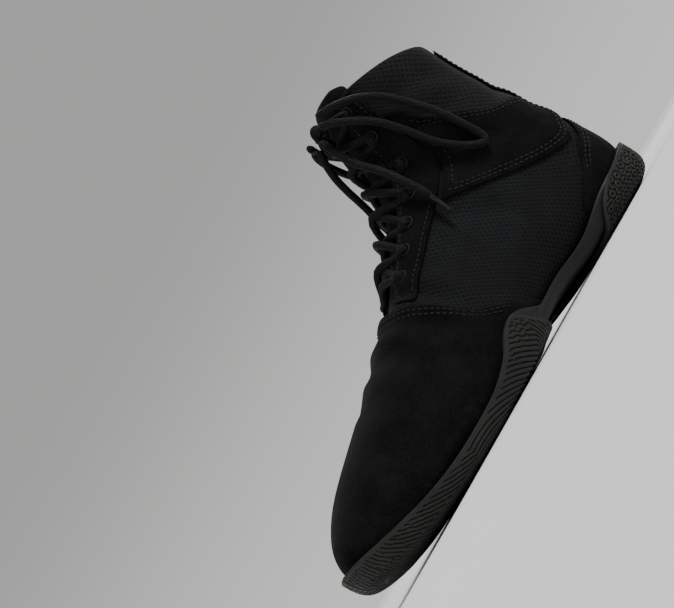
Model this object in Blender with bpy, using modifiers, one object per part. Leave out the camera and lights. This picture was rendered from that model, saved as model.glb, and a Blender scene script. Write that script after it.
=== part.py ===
"""Right wrestling shoe, empty, laced and tied in a bow, standing on its sole.

Metres, +Z up. The toe points to -Y and the medial side to +X. The origin is on the floor under
the middle of the heel. Places along the shoe are first worked out as (s, w, h): s forwards from
the back of the heel, w to the medial side and h above the floor.
"""

import bisect
import functools
import math
from collections import namedtuple

import bmesh
import bpy
import numpy as np
from mathutils import Vector
from mathutils.bvhtree import BVHTree

# Driving dimensions of the whole shoe.
LENGTH = 0.285
BALL_WIDTH = 0.090
HEEL_WIDTH = 0.067
WAIST_WIDTH = 0.055
INSTEP_HEIGHT = 0.097
COLLAR_FRONT = 0.158
COLLAR_BACK = 0.133
COLLAR_WIDTH = 0.057
HEEL_SEAT = 0.034

# Thicknesses and clearances.
WALL = 0.0022
OVERLAY = 0.0012
GAP = 0.0003
OVERLAY_GAP = 0.00045
CUP_GAP = 0.0006
CUP_WALL = 0.0012
PAD_GAP = 0.0006
PAD = 0.0026
RIM_SHARE = 0.45
PLAQUE = 0.0011
SIDE_WALL_DEPTH = 0.0075
INSOLE = 0.003
INSOLE_GAP = 0.0007
TONGUE = 0.0034
TONGUE_GAP = 0.0005
LACE = 0.0042
KNOT_RADII = (0.0062, 0.0036, 0.0048)
KNOT_LEAN = -20
KNOT_LIFT = 0.0017
TOE_SPRING = 0.012
ARCH_LIFT = 0.0035
RIM_BACK = 0.021
RIM_SIDE = 0.0165
LOBE_RISE = 0.0085
GROOVE = 0.0028
EYELET_PAIRS = 7

FLOOR_TO_BASE = PAD + PAD_GAP


def through(rows, place):
    """Smooth curve through evenly numbered rows. The place counts rows and may lie between two."""
    rows = np.asarray(rows, float)
    i = int(min(max(math.floor(place), 0), len(rows) - 2))
    f = place - i
    here, there = rows[i], rows[i + 1]
    before = rows[i - 1] if i else 2 * here - there
    after = rows[i + 2] if i + 2 < len(rows) else 2 * there - here
    cubic = 3 * (here - there) + after - before
    square = 2 * before - 5 * here + 4 * there - after
    return here + 0.5 * f * ((there - before) + f * (square + f * cubic))


def world(s, w, h):
    return np.array((w, HEEL_SEAT - s, h))


def on_faces(function, rows, columns, a, b, distance):
    """The point (a, b) of a surface as its flat faces between the stops give it."""
    if not rows[0] <= a <= rows[-1]:
        return function(a, b, distance)
    i = min(bisect.bisect_right(rows, a), len(rows) - 1)
    j = min(max(bisect.bisect_right(columns, b), 1), len(columns) - 1)
    f = (a - rows[i - 1]) / (rows[i] - rows[i - 1])
    g = (b - columns[j - 1]) / (columns[j] - columns[j - 1])
    near, far = ((1 - g) * function(row, columns[j - 1], distance) + g * function(row, columns[j], distance)
                 for row in rows[i - 1:i + 1])
    return (1 - f) * near + f * far


def crossings(places, borders, stops, apart=0.04):
    """Places, with those added between them where a border crosses one of the stops."""
    found = set(places)
    fine = np.linspace(min(places), max(places), 401)
    for border in borders:
        values = [border(place) for place in fine]
        for stop in stops:
            for a, b, here, there in zip(fine, fine[1:], values, values[1:]):
                if (here - stop) * (there - stop) < 0:
                    found.add(float(a + (b - a) * (stop - here) / (there - here)))
    kept = []
    for place in sorted(found):
        if place in places or all(abs(place - other) > apart for other in list(places) + kept):
            kept.append(place)
    return kept


# Sole. Each row is one station of the base's outline, from the back of the heel to the toe.
# s is a share of LENGTH. The half widths are shares of the width that the row follows.
Station = namedtuple("Station", "s follows medial lateral lift rim_medial rim_lateral flare")
HEEL, WAIST, BALL = HEEL_WIDTH, WAIST_WIDTH, BALL_WIDTH
STATIONS = [
    Station(0.011, HEEL, 0.00, 0.00, 0.0, 1.0, 1.0, 0.0),
    Station(0.023, HEEL, 0.235, 0.235, 0.0, 0.99, 0.99, 0.0),
    Station(0.056, HEEL, 0.384, 0.386, 0.0, 0.93, 0.95, 0.0),
    Station(0.112, HEEL, 0.455, 0.466, 0.0, 0.84, 0.88, 0.0),
    Station(0.182, HEEL, 0.462, 0.486, 0.0, 0.78, 0.82, 0.0),
    Station(0.260, WAIST, 0.435, 0.598, 0.2, 0.70, 0.78, 0.0),
    Station(0.337, WAIST, 0.426, 0.628, 1.0, 0.62, 0.76, 0.0),
    Station(0.414, WAIST, 0.488, 0.665, 0.9, 0.66, 0.76, 0.15),
    Station(0.491, BALL, 0.364, 0.445, 0.2, 0.92, 0.76, 0.66),
    Station(0.568, BALL, 0.419, 0.478, 0.0, 0.84, 0.78, 0.26),
    Station(0.649, BALL, 0.455, 0.508, 0.0, 0.70, 0.80, 0.0),
    Station(0.730, BALL, 0.470, 0.512, 0.0, 0.68, 0.82, 0.0),
    Station(0.807, BALL, 0.464, 0.486, 0.0, 0.72, 0.86, 0.0),
    Station(0.877, BALL, 0.443, 0.420, 0.0, 0.84, 0.95, 0.0),
    Station(0.937, BALL, 0.402, 0.309, 0.0, 1.02, 1.10, 0.0),
    Station(0.974, BALL, 0.272, 0.150, 0.0, 1.22, 1.26, 0.0),
    Station(0.991, BALL, 0.066, -0.066, 0.0, 1.34, 1.34, 0.0),
]
TOE_LIFT_FROM_SHARE = 0.76
LAST_STATION = len(STATIONS) - 1
LOBE_AT = 8.25
LOBE_REACH_STATIONS = 0.95
TOE_CURVE = 1.7
RIM_LEAN = 0.0008
RIM_ON_TOE = 0.6
CORNER_AT_SHARE = 0.5
CORNER_RISE_SHARE = 0.85
WALL_AT_SHARE = 0.78


def station(i, fitted=True):
    """s, medial w, lateral w, floor height, both rim heights and the medial flare at station i.

    Fitted, the outline gives way wherever the cup's wall round the last would be too thin.
    """
    rows = []
    for row in STATIONS:
        rim = RIM_BACK if row.follows == HEEL else RIM_SIDE
        rows.append((row.s * LENGTH, row.medial * row.follows, -row.lateral * row.follows,
                     row.lift * ARCH_LIFT, row.rim_medial * rim, row.rim_lateral * rim,
                     row.flare * LOBE_RISE))
    first, last = rows[1], rows[-2]
    heel_twin = (first[0], first[2], first[1], first[3], first[5], first[4], first[6])
    toe_twin = (last[0], 2 * rows[-1][1] - last[1], 2 * rows[-1][1] - last[2]) + last[3:]
    s, medial, lateral, lift, rim_m, rim_l, flare = through([heel_twin] + rows + [toe_twin], i + 1)
    lift = max(0.0, lift)
    rim_m += LOBE_RISE * math.cos(math.pi / 2 * min(1.0, abs(i - LOBE_AT) / LOBE_REACH_STATIONS))
    ahead = max(0.0, s / LENGTH - TOE_LIFT_FROM_SHARE) / (1 - TOE_LIFT_FROM_SHARE)
    floor = FLOOR_TO_BASE + lift + TOE_SPRING * ahead ** TOE_CURVE
    if fitted:
        medial += spread(i, 1)
        lateral -= spread(i, -1)
    return s, medial, lateral, floor, rim_m, rim_l, flare


@functools.lru_cache(maxsize=None)
def spreads(side):
    """What the outline gives way at each stop of FIT_STOPS, none at the heel's and the toe's tip."""
    points, faces = last_form()
    tree = BVHTree.FromPolygons([tuple(point) for point in points], faces)
    found = []
    for i in FIT_STOPS:
        room = CUP_WALL
        for u in FIT_HEIGHTS:
            place = Vector(base_point(i, side * u, False))
            nearest, normal, _, distance = tree.find_nearest(place)
            room = min(room, math.copysign(distance, (place - nearest).dot(normal)))
        found.append(CUP_WALL - room)
    found[0] = found[-1] = 0.0
    return found


def spread(i, side):
    return float(np.interp(i, FIT_STOPS, spreads(side)))


def outline_normal(i, side, fitted=True):
    """Direction in the floor plane, out of the base, at one side of station i."""
    if i < 0.02 or i > LAST_STATION - 0.02:
        return np.array((-1.0 if i < 1 else 1.0, 0.0))
    a, b = station(i - 0.02, fitted), station(i + 0.02, fitted)
    which = 1 if side > 0 else 2
    step = np.array((b[0] - a[0], b[which] - a[which]))
    normal = np.array((-step[1], step[0])) * side
    return normal / np.linalg.norm(normal)


def base_point(i, u, fitted=True):
    """Outer surface of the base. u is 1 at the medial rim, 0 under the foot, -1 at the other rim."""
    i = min(max(i, 0.0), float(LAST_STATION))
    s, medial, lateral, floor, rim_m, rim_l, flare = station(i, fitted)
    sides = {side: (np.array((s, w)), outline_normal(i, side, fitted))
             for side, w in ((1, medial), (-1, lateral))}
    side = 1 if u >= 0 else -1
    edge, normal = sides[side]
    rim = (rim_m if side > 0 else rim_l) + max(0.0, floor - FLOOR_TO_BASE) * RIM_ON_TOE
    c = abs(u)
    corner = SIDE_WALL_DEPTH
    if c >= CORNER_AT_SHARE:
        bend = min(1.0, (c - CORNER_AT_SHARE) / (WALL_AT_SHARE - CORNER_AT_SHARE))
        angle = bend * math.pi / 2
        plan = edge - normal * corner * (1 - math.sin(angle))
        h = floor + corner * CORNER_RISE_SHARE * (1 - math.cos(angle))
        if c > WALL_AT_SHARE:
            up = (c - WALL_AT_SHARE) / (1 - WALL_AT_SHARE)
            h += (max(rim, h + 0.001) - h) * up
            plan = plan + normal * (RIM_LEAN + (flare if side > 0 else 0.0)) * up
        return np.array((plan[0], plan[1], h))
    inner = {k: e - n * corner for k, (e, n) in sides.items()}
    share = (u + CORNER_AT_SHARE) / (2 * CORNER_AT_SHARE)
    plan = inner[-1] + (inner[1] - inner[-1]) * share
    return np.array((plan[0], plan[1], floor))


def pushed(function, a, b, distance, da=0.03, db=0.015):
    """The point of a surface, moved out along its normal by a distance."""
    point = function(a, b)
    if not distance:
        return point
    along = function(a + da, b) - function(a - da, b)
    across = function(a, b + db) - function(a, b - db)
    normal = np.cross(along, across)
    size = np.linalg.norm(normal)
    return point + normal / size * distance if size > 1e-12 else point


@functools.lru_cache(maxsize=None)
def sole_skin_point(i, u, distance):
    """A point outside the base: straight down from its floor, outwards from its side."""
    here = base_point(i, u)
    if abs(u) <= CORNER_AT_SHARE:
        return here - np.array((0, 0, distance))
    out = outline_normal(min(max(i, 0.0), LAST_STATION), 1 if u > 0 else -1)
    bend = min(1.0, (abs(u) - CORNER_AT_SHARE) / (WALL_AT_SHARE - CORNER_AT_SHARE)) * math.pi / 2
    level = math.sin(bend) * distance
    return here + np.array((out[0] * level, out[1] * level, -math.cos(bend) * distance))


# Upper. Each ring goes round the foot in a plane through a point of the top line and one of the
# base line, from the toe, along the foot, round the heel and up to the collar.
# top_s and base_s are shares of LENGTH. form is 0 on the foot, 1 at the heel and 2 on the leg.
Ring = namedtuple("Ring", "top_s top_h base_s base_h medial lateral middle form tuck")
RINGS = [
    Ring(0.981, 0.245, 0.981, 0.245, 0.00, 0.00, 0.066, 0.0, 1.0),
    Ring(0.971, 0.335, 0.968, 0.184, 0.175, 0.175, 0.062, 0.0, 1.0),
    Ring(0.943, 0.425, 0.940, 0.151, 0.295, 0.295, 0.045, 0.0, 1.0),
    Ring(0.891, 0.505, 0.889, 0.118, 0.395, 0.395, 0.018, 0.0, 1.0),
    Ring(0.812, 0.565, 0.813, 0.095, 0.452, 0.460, 0.000, 0.0, 1.0),
    Ring(0.719, 0.630, 0.722, 0.085, 0.462, 0.495, 0.000, 0.0, 1.0),
    Ring(0.632, 0.702, 0.635, 0.085, 0.442, 0.492, 0.000, 0.0, 1.0),
    Ring(0.547, 0.792, 0.551, 0.089, 0.405, 0.460, 0.000, 0.05, 1.0),
    Ring(0.470, 0.895, 0.463, 0.105, 0.368, 0.420, 0.000, 0.3, 0.90),
    Ring(0.411, 1.000, 0.365, 0.122, 0.345, 0.390, 0.000, 0.6, 0.76),
    Ring(0.372, 1.140, 0.274, 0.116, 0.340, 0.370, 0.000, 0.9, 0.80),
    Ring(0.347, 1.250, 0.190, 0.106, 0.338, 0.350, 0.000, 1.0, 0.96),
    Ring(0.330, 1.345, 0.100, 0.104, 0.332, 0.338, 0.000, 1.1, 1.0),
    Ring(0.318, 1.435, 0.036, 0.122, 0.325, 0.328, 0.000, 1.35, 1.0),
    Ring(0.308, 1.525, 0.018, 0.250, 0.318, 0.318, 0.000, 1.7, 1.0),
    Ring(0.298, 1.630, 0.016, 0.440, 0.310, 0.310, 0.000, 1.9, 1.0),
    Ring(0.287, 1.735, 0.025, 0.660, 0.300, 0.300, 0.000, 2.0, 1.0),
    Ring(0.275, 1.865, 0.030, 0.850, 0.300, 0.300, 0.000, 2.0, 1.0),
    Ring(0.264, 2.000, 0.022, 1.000, 0.317, 0.317, 0.000, 2.0, 1.0),
    Ring(0.254, 2.150, 0.014, 1.150, 0.325, 0.325, 0.000, 2.0, 1.0),
]
# Columns of a ring's half section: across is a share of its half width, up of its base-to-top
# line. Column 1 is the edge of the opening underneath and column 6 that of the throat.
FOOT = [(0, 0), (0.58, 0), (0.93, 0.04), (1.0, 0.24), (0.90, 0.56), (0.64, 0.84), (0.30, 0.97), (0, 1)]
HEELS = [(0, 0), (0.58, 0), (0.93, 0.05), (1.0, 0.23), (0.92, 0.50), (0.74, 0.76), (0.40, 0.94), (0, 1)]
LEG = [(0, 0), (0.48, 0.05), (0.82, 0.19), (1.0, 0.42), (0.98, 0.62), (0.81, 0.83), (0.43, 0.965), (0, 1)]
FORMS = np.array([FOOT, HEELS, LEG], float)
COLUMNS = len(FOOT) - 1
TURN = 2 * COLUMNS
COLLAR = len(RINGS) - 2
THROAT = 7.0
FEATHER_COLUMN = 1.0
SOLE_RINGS = (1.6, 12.4)
HEEL_RING_SHARE = 1.36
LEG_RING_SHARE = 1.64


def rise(share):
    if share <= 1:
        return share * INSTEP_HEIGHT
    return INSTEP_HEIGHT + (share - 1) * (COLLAR_FRONT - INSTEP_HEIGHT)


def back_rise(share, ring_number):
    """Height of the base line: under the foot it follows the instep's size, up the back the collar's."""
    if ring_number <= 12:
        return share * INSTEP_HEIGHT
    return share * COLLAR_BACK


def ring_width(number):
    if number <= 8:
        return BALL_WIDTH
    if number <= 12:
        return BALL_WIDTH * (12 - number) / 4 + HEEL_RING_SHARE * HEEL_WIDTH * (number - 8) / 4
    return HEEL_RING_SHARE * HEEL_WIDTH if number < 15 else LEG_RING_SHARE * COLLAR_WIDTH


def ring_rows():
    rows = []
    for number, ring in enumerate(RINGS):
        width = ring_width(number)
        rows.append((ring.top_s * LENGTH, rise(ring.top_h), ring.base_s * LENGTH,
                     back_rise(ring.base_h, number), ring.medial * width, ring.lateral * width,
                     ring.middle * BALL_WIDTH, ring.form, ring.tuck))
    twin = list(rows[1])
    twin[1], twin[3] = rows[1][3], rows[1][1]
    twin[4], twin[5] = -rows[1][4], -rows[1][5]
    return np.array([twin] + rows)


RING_ROWS = ring_rows()


def upper_point(ring, column):
    """Outer surface of the upper. column runs 0 to 7 up the medial side and 7 to 14 down the other."""
    top_s, top_h, base_s, base_h, medial, lateral, middle, form, tuck = through(RING_ROWS, ring + 1)
    column = column % TURN
    side = 1 if column <= COLUMNS else -1
    column = column if side > 0 else TURN - column
    form = min(max(form, 0.0), 2.0)
    low = min(int(form), 1)
    table = FORMS[low] + (FORMS[low + 1] - FORMS[low]) * (form - low)
    mirrored = np.array((-1.0, 1.0))
    rows = np.vstack([table[1] * mirrored, table, table[-2] * mirrored])
    across, up = through(rows, column + 1)
    if side > 0:
        across *= 1 - (1 - tuck) * max(0.0, 1 - max(0.0, column - 2.0))
    w = middle + side * across * (medial if side > 0 else lateral)
    return np.array((base_s + (top_s - base_s) * up, w, base_h + (top_h - base_h) * up))


@functools.lru_cache(maxsize=None)
def upper_skin(ring, column, distance):
    point = upper_point(ring, column)
    if ring < 0.02:
        return point + np.array((distance, 0, 0))
    inside = max(ring, 0.06)
    moved = pushed(upper_point, inside, column, 1.0, 0.05, 0.05) - upper_point(inside, column)
    return point + moved * distance


def refined(stops, counts):
    """Values between the stops, each stretch cut into its own count of equal steps."""
    values = [stops[0]]
    for a, b, count in zip(stops, stops[1:], counts):
        values += [a + (b - a) * k / count for k in range(1, count + 1)]
    return values


RING_STEPS = refined([0, 1, 2, 3, 7, 9, 12, 14, COLLAR], [2, 2, 1, 4, 3, 4, 4, 5])
HALF_COLUMNS = refined(range(8), [2, 3, 2, 2, 3, 2, 2])
ALL_COLUMNS = HALF_COLUMNS + [TURN - c for c in HALF_COLUMNS[-2:0:-1]]
COLUMN_STOPS = [-c for c in HALF_COLUMNS[:0:-1]] + HALF_COLUMNS + [TURN - c for c in HALF_COLUMNS[-2::-1]]


def clear_scene():
    for obj in list(bpy.data.objects):
        bpy.data.objects.remove(obj, do_unlink=True)


def collection(name):
    made = bpy.data.collections.new(name)
    bpy.context.scene.collection.children.link(made)
    return made


def material(name, colour, roughness, metallic=0.0):
    made = bpy.data.materials.new(name)
    made.use_nodes = True
    shader = made.node_tree.nodes["Principled BSDF"]
    shader.inputs["Base Color"].default_value = (*colour, 1.0)
    shader.inputs["Roughness"].default_value = roughness
    shader.inputs["Metallic"].default_value = metallic
    return made


def object_from(name, points, faces, group, finish, merge=1e-5):
    """Mesh object in world places from (s, w, h) points, with doubled points merged."""
    mesh = bpy.data.meshes.new(name)
    mesh.from_pydata([tuple(world(*p)) for p in points], [], faces)
    made = bmesh.new()
    made.from_mesh(mesh)
    bmesh.ops.remove_doubles(made, verts=made.verts, dist=merge)
    bmesh.ops.dissolve_degenerate(made, edges=made.edges, dist=merge)
    made.to_mesh(mesh)
    made.free()
    mesh.shade_smooth()
    mesh.set_sharp_from_angle(angle=math.radians(40))
    mesh.materials.append(finish)
    obj = bpy.data.objects.new(name, mesh)
    group.objects.link(obj)
    return obj


def grid_faces(rows, columns, kept=None, closed=False):
    """Quads of a lattice of points stored row by row. kept(row, column) leaves some out."""
    faces = []
    for r in range(rows - 1):
        for c in range(columns if closed else columns - 1):
            if kept is None or kept(r, c):
                d = (c + 1) % columns
                faces.append((r * columns + c, (r + 1) * columns + c,
                              (r + 1) * columns + d, r * columns + d))
    return faces


def solidified(obj, thickness, side):
    """Gives an open surface its thickness, on the side its faces point to when side is 1."""
    shell = obj.modifiers.new("wall", "SOLIDIFY")
    shell.thickness = thickness
    shell.offset = side
    shell.use_even_offset = True
    return obj


def boolean(obj, other, operation):
    cut = obj.modifiers.new(other.name, "BOOLEAN")
    cut.operation = operation
    cut.object = other
    cut.solver = "EXACT"


# Upper and what is cut from its surface.
def upper(group, finish):
    """One hollow wall, open at the collar, along the throat and underneath."""
    points = [upper_point(r, c) for r in RING_STEPS for c in ALL_COLUMNS]
    columns = len(ALL_COLUMNS)

    def kept(r, c):
        ring = RING_STEPS[r]
        first, second = ALL_COLUMNS[c], ALL_COLUMNS[(c + 1) % columns] or TURN
        low, high = min(first, second), max(first, second)
        if THROAT - 0.01 <= ring and low >= COLUMNS - 1 - 0.01 and high <= COLUMNS + 1 + 0.01:
            return False
        under = high <= FEATHER_COLUMN + 0.01 or low >= TURN - FEATHER_COLUMN - 0.01
        return not (under and SOLE_RINGS[0] <= ring + 0.11 and RING_STEPS[r + 1] <= SOLE_RINGS[1] + 0.11)

    obj = object_from("upper", points, grid_faces(len(RING_STEPS), columns, kept, True), group, finish)
    return solidified(obj, WALL, -1)


def fold(column):
    """Column of the same place on the medial side, 0 at the base line and 7 at the top line."""
    column = column % TURN
    return min(column, TURN - column)


def edge_at(table, column, which):
    """Ring of a panel's border at a column. Rows are (column, first ring, last ring)."""
    return float(np.interp(fold(column), [row[0] for row in table], [row[which] for row in table]))


def span_columns(table, span):
    """A panel's columns: one side, both sides joined over the top, or joined round the back."""
    first, last = table[0][0], table[-1][0]
    half = {row[0] for row in table} | {c for c in HALF_COLUMNS if first < c < last}
    borders = [lambda c, k=k: edge_at(table, c, k) for k in (1, 2)]
    half = crossings(half, borders, RING_STEPS)
    if span == "medial":
        return half
    mirrored = [TURN - c for c in reversed(half)]
    if span == "lateral":
        return mirrored
    if span == "top":
        return half + [c for c in mirrored if c > COLUMNS]
    return [-c for c in reversed(half) if c > 0] + half


def panel(name, table, span, distance, thickness, group, finish, inward=False):
    """Closed piece on the upper's own surface, between two border rings at each column."""
    columns = span_columns(table, span)
    low, high = min(row[1] for row in table), max(row[2] for row in table)
    rings = sorted({low, high} | {r for r in RING_STEPS if low < r < high})
    points = []
    for ring in rings:
        for column in columns:
            at = min(max(ring, edge_at(table, column, 1)), edge_at(table, column, 2))
            points.append(on_faces(upper_skin, RING_STEPS, COLUMN_STOPS, at, column, distance))
    obj = object_from(name, points, grid_faces(len(rings), len(columns)), group, finish)
    return solidified(obj, thickness, -1 if inward else 1)


# Panels as they lie on the upper. Rows are (column, first ring, last ring).
VAMP = [(4 / 3, 0, 8.75), (2.0, 0, 8.6), (2.8, 0, 8.15), (3.6, 0, 7.5), (4.3, 0, 7.25), (5.0, 0, 7.05),
        (5.94, 0, 6.95), (7.0, 0, 6.95)]
EYESTAY_COLUMNS = (4.95, 5.93)
ANKLE_BAND = [(1.4, 14.65, 15.45), (2.05, 14.0, 15.3), (2.5, 13.35, 15.15), (3.0, 12.75, 15.0),
              (3.4, 12.3, 15.0), (3.8, 11.8, 15.06), (4.35, 11.0, 15.25), (4.88, 10.2, 16.0)]
COUNTER = [(0.0, 12.98, 14.9), (0.7, 12.9, 14.82), (4 / 3, 12.7, 14.52), (5 / 3, 12.2, 14.22),
           (2.0, 10.75, 13.88), (2.25, 10.9, 13.5), (2.5, 11.4, 13.1), (2.7, 12.15, 12.6)]
BACK_STRIP = [(0.0, 15.0, 17.75), (1.25, 14.7, 17.75)]
TOP_SEAM_RING = 17.85
INSOLE_AREA = [(0.0, 0.55, 12.55), (1.0, 0.55, 12.55), (1.55, 0.6, 12.4)]
TONGUE_AREA = [(5.0, 6.3, 18.35), (5.6, 6.15, 18.7), (7.0, 6.1, 18.85)]
SEAM_RINGS = 0.14


def suede_overlays(group, finish):
    """Vamp over the toe, eyestays, ankle bands, heel counter and the strip up the back."""
    def overlay(name, table, span):
        panel(name, table, span, OVERLAY_GAP, OVERLAY, group, finish)

    eyestay = [(c, edge_at(VAMP, c, 2) + SEAM_RINGS, TOP_SEAM_RING) for c in EYESTAY_COLUMNS]
    overlay("vamp", VAMP, "top")
    for side in ("medial", "lateral"):
        overlay("eyestay_" + side, eyestay, side)
        overlay("ankle_band_" + side, ANKLE_BAND, side)
    overlay("heel_counter", COUNTER, "back")
    overlay("back_strip", BACK_STRIP, "back")


# Sole.
def last_form():
    """Points and faces of the form that the upper and its overlays take up, with their clearance."""
    points = []
    columns = len(ALL_COLUMNS)
    for r in RING_STEPS:
        for c in ALL_COLUMNS:
            signed = c if c <= COLUMNS else c - TURN
            bare = clamp01(1 - abs(r - BARE_RING) / BARE_REACH_RINGS) if 0 < signed < 5 else 0.0
            points.append(upper_skin(r, c, CUP_GAP + (1 - bare) * (OVERLAY_GAP + OVERLAY)))
    faces = grid_faces(len(RING_STEPS), columns, None, True)
    top = (len(RING_STEPS) - 1) * columns
    return points, faces + [tuple(range(top, top + columns))]


def last_cutter(group):
    points, faces = last_form()
    obj = object_from("last_cutter", points, faces, group, material("guide", (0.5, 0.1, 0.1), 0.5))
    obj.display_type = "WIRE"
    obj.hide_render = True
    return obj


def clamp(value, low, high):
    return min(max(value, low), high)


def clamp01(value):
    return clamp(value, 0.0, 1.0)


BASE_STEPS = refined([0, 7, 9, 13, LAST_STATION], [14, 8, 6, 6])
CORNER_STOPS = refined([CORNER_AT_SHARE, WALL_AT_SHARE, 1.0], [2, 1])
FIT_STOPS = [i / 2 for i in range(2 * LAST_STATION + 1)]
FIT_HEIGHTS = (0.72, WALL_AT_SHARE, 0.89, 1.0)
BARE_RING = 9.55
BARE_REACH_RINGS = 0.75
BASE_COLUMNS = [-u for u in reversed(CORNER_STOPS)] + [0.0] + CORNER_STOPS
PAD_COLUMNS = [-u for u in reversed(CORNER_STOPS)] + [-0.3, -0.1, 0.1, 0.3] + CORNER_STOPS


def base(group, cutter, finish):
    """Rubber shank and cup: the outer skin, lidded at its rims, less the form of the upper."""
    points = [base_point(i, u) for i in BASE_STEPS for u in BASE_COLUMNS]
    rows, columns = len(BASE_STEPS), len(BASE_COLUMNS)
    faces = [face[::-1] for face in grid_faces(rows, columns, None, True)]
    obj = object_from("sole_base", points, faces, group, finish)
    boolean(obj, cutter, "DIFFERENCE")
    return obj


def pad(name, rows, group, finish, thickness=PAD, round_the_back=False):
    """Outsole rubber on the base's skin. rows are (station, lower u, upper u).

    A pad that goes round the back of the heel starts there with both of its sides in one line.
    """
    fine = np.array([through(rows, (len(rows) - 1) * k / 200) for k in range(201)])
    first, last = rows[0][0], rows[-1][0]
    low, high = (lambda i, k=k: clamp(float(np.interp(i, fine[:, 0], fine[:, k])), -1.0, 1.0)
                 for k in (1, 2))
    between = {i for i in BASE_STEPS if first < i < last}
    steps = crossings({first, last} | between, [low, high], BASE_COLUMNS)
    places = [(i, clamp(u, low(i), high(i))) for i in steps for u in PAD_COLUMNS]
    across, long = len(PAD_COLUMNS), len(steps)

    def skin(i, u, distance):
        return sole_skin_point(i, u, PAD_GAP + distance * thinned(u))

    inner = [on_faces(skin, BASE_STEPS, BASE_COLUMNS, i, u, 0.0) for i, u in places]
    outer = [on_faces(skin, BASE_STEPS, BASE_COLUMNS, i, u, thickness) for i, u in places]
    count = len(inner)
    faces = grid_faces(long, across)
    outside = [tuple(k + count for k in face[::-1]) for face in faces]
    ring = [r * across + across - 1 for r in range(long)]
    ring += [(long - 1) * across + c for c in range(across - 2, -1, -1)]
    ring += [r * across for r in range(long - 2, -1, -1)]
    if not round_the_back:
        ring += list(range(1, across))
    rim = [(a, a + count, b + count, b) for a, b in zip(ring, ring[1:])]
    obj = object_from(name, inner + outer, faces + outside + rim, group, finish)
    shape = bmesh.new()
    shape.from_mesh(obj.data)
    bmesh.ops.recalc_face_normals(shape, faces=shape.faces)
    shape.to_mesh(obj.data)
    shape.free()
    return obj


def thinned(u):
    """Share of a pad's thickness: whole underneath, less up the side."""
    return 1 - (1 - RIM_SHARE) * clamp01((abs(u) - CORNER_AT_SHARE) / (1 - CORNER_AT_SHARE))


FOREFOOT_PAD = [(7.0, 0.0, 0.30), (7.2, -0.14, 0.50), (7.6, -0.27, 0.80), (8.2, -0.36, 1.0), (9, -0.34, 1.0),
                (10, -0.28, 1.0), (11, -0.22, 1.0), (12, -0.13, 1.0), (13, -0.01, 1.0), (14, 0.10, 1.0),
                (15, 0.20, 1.0), (16, 0.28, 1.0)]
HEEL_PAD = [(0.0, -1.0, 1.0), (0.7, -1.0, 1.0), (1.35, -0.72, 1.0), (2.0, -0.46, 1.0), (2.7, -0.34, 1.0),
            (3.4, -0.30, 1.0), (4.0, -0.27, 0.90), (4.5, -0.25, 0.62), (4.95, -0.20, 0.26),
            (5.2, -0.14, 0.0)]


def upto(rows, gap):
    """Rows of the strip beside a pad, across the groove from its lower border."""
    return [(i, -1.0, low - gap) for i, low, _ in rows]


def outsole(group, finish):
    groove = GROOVE / (BALL_WIDTH - 2 * SIDE_WALL_DEPTH)
    pad("forefoot_outsole", FOREFOOT_PAD, group, finish)
    strip = [(8.2, -1.0, -0.62)] + upto(FOREFOOT_PAD[4:-2], groove) + [(15, -1.0, 0.13), (15.9, -1.0, 0.12)]
    pad("lateral_forefoot_strip", strip, group, finish)
    pad("heel_outsole", HEEL_PAD, group, finish, round_the_back=True)
    beside_pad = upto(HEEL_PAD[2:8], groove)
    side_panel = [(1.0, -1.0, -0.93)] + beside_pad + [(5.6, -1.0, -0.40), (6.5, -1.0, -0.70)]
    pad("lateral_heel_panel", side_panel, group, finish)


# Laces.
EYELET_COLUMN = 5.55
OVER_TONGUE = 0.0012
LACE_BENDS = (0.0, 0.12, 0.37, 0.63, 0.88, 1.0)
TONGUE_COLUMNS = 0.36
STAY_COLUMNS = 1.1
FIRST_EYELET_RING = 7.75
TOP_EYELET_RING = 17.0
KNOT_RING = 17.6


def eyelet_rings():
    """Rings of the eyelet pairs, at even steps along the top line."""
    fine = np.linspace(FIRST_EYELET_RING, TOP_EYELET_RING, 200)
    line = np.array([upper_point(r, COLUMNS) for r in fine])
    reach = np.concatenate([[0], np.cumsum(np.linalg.norm(np.diff(line, axis=0), axis=1))])
    return [float(np.interp(reach[-1] * k / (EYELET_PAIRS - 1), reach, fine)) for k in range(EYELET_PAIRS)]


def over_throat(column):
    """Height of a lace's middle over the upper's surface: over the eyestay, then down to the tongue."""
    on_stay = OVERLAY_GAP + OVERLAY + 2 * GAP + LACE / 2
    on_tongue = LACE / 2 + GAP - WALL - TONGUE_GAP + OVER_TONGUE
    out = clamp01((abs(column - COLUMNS) - TONGUE_COLUMNS) / (STAY_COLUMNS - TONGUE_COLUMNS))
    return on_tongue + (on_stay - on_tongue) * out


def cord(name, points, diameter, group, finish, resolution=2):
    """Round cord along (s, w, h) points, with closed ends."""
    curve = bpy.data.curves.new(name, "CURVE")
    curve.dimensions = "3D"
    curve.bevel_depth = diameter / 2
    curve.bevel_resolution = resolution
    curve.use_fill_caps = True
    spline = curve.splines.new("POLY")
    spline.points.add(len(points) - 1)
    for target, place in zip(spline.points, points):
        target.co = (*world(*place), 1)
    curve.materials.append(finish)
    obj = bpy.data.objects.new(name, curve)
    group.objects.link(obj)
    return obj


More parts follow.
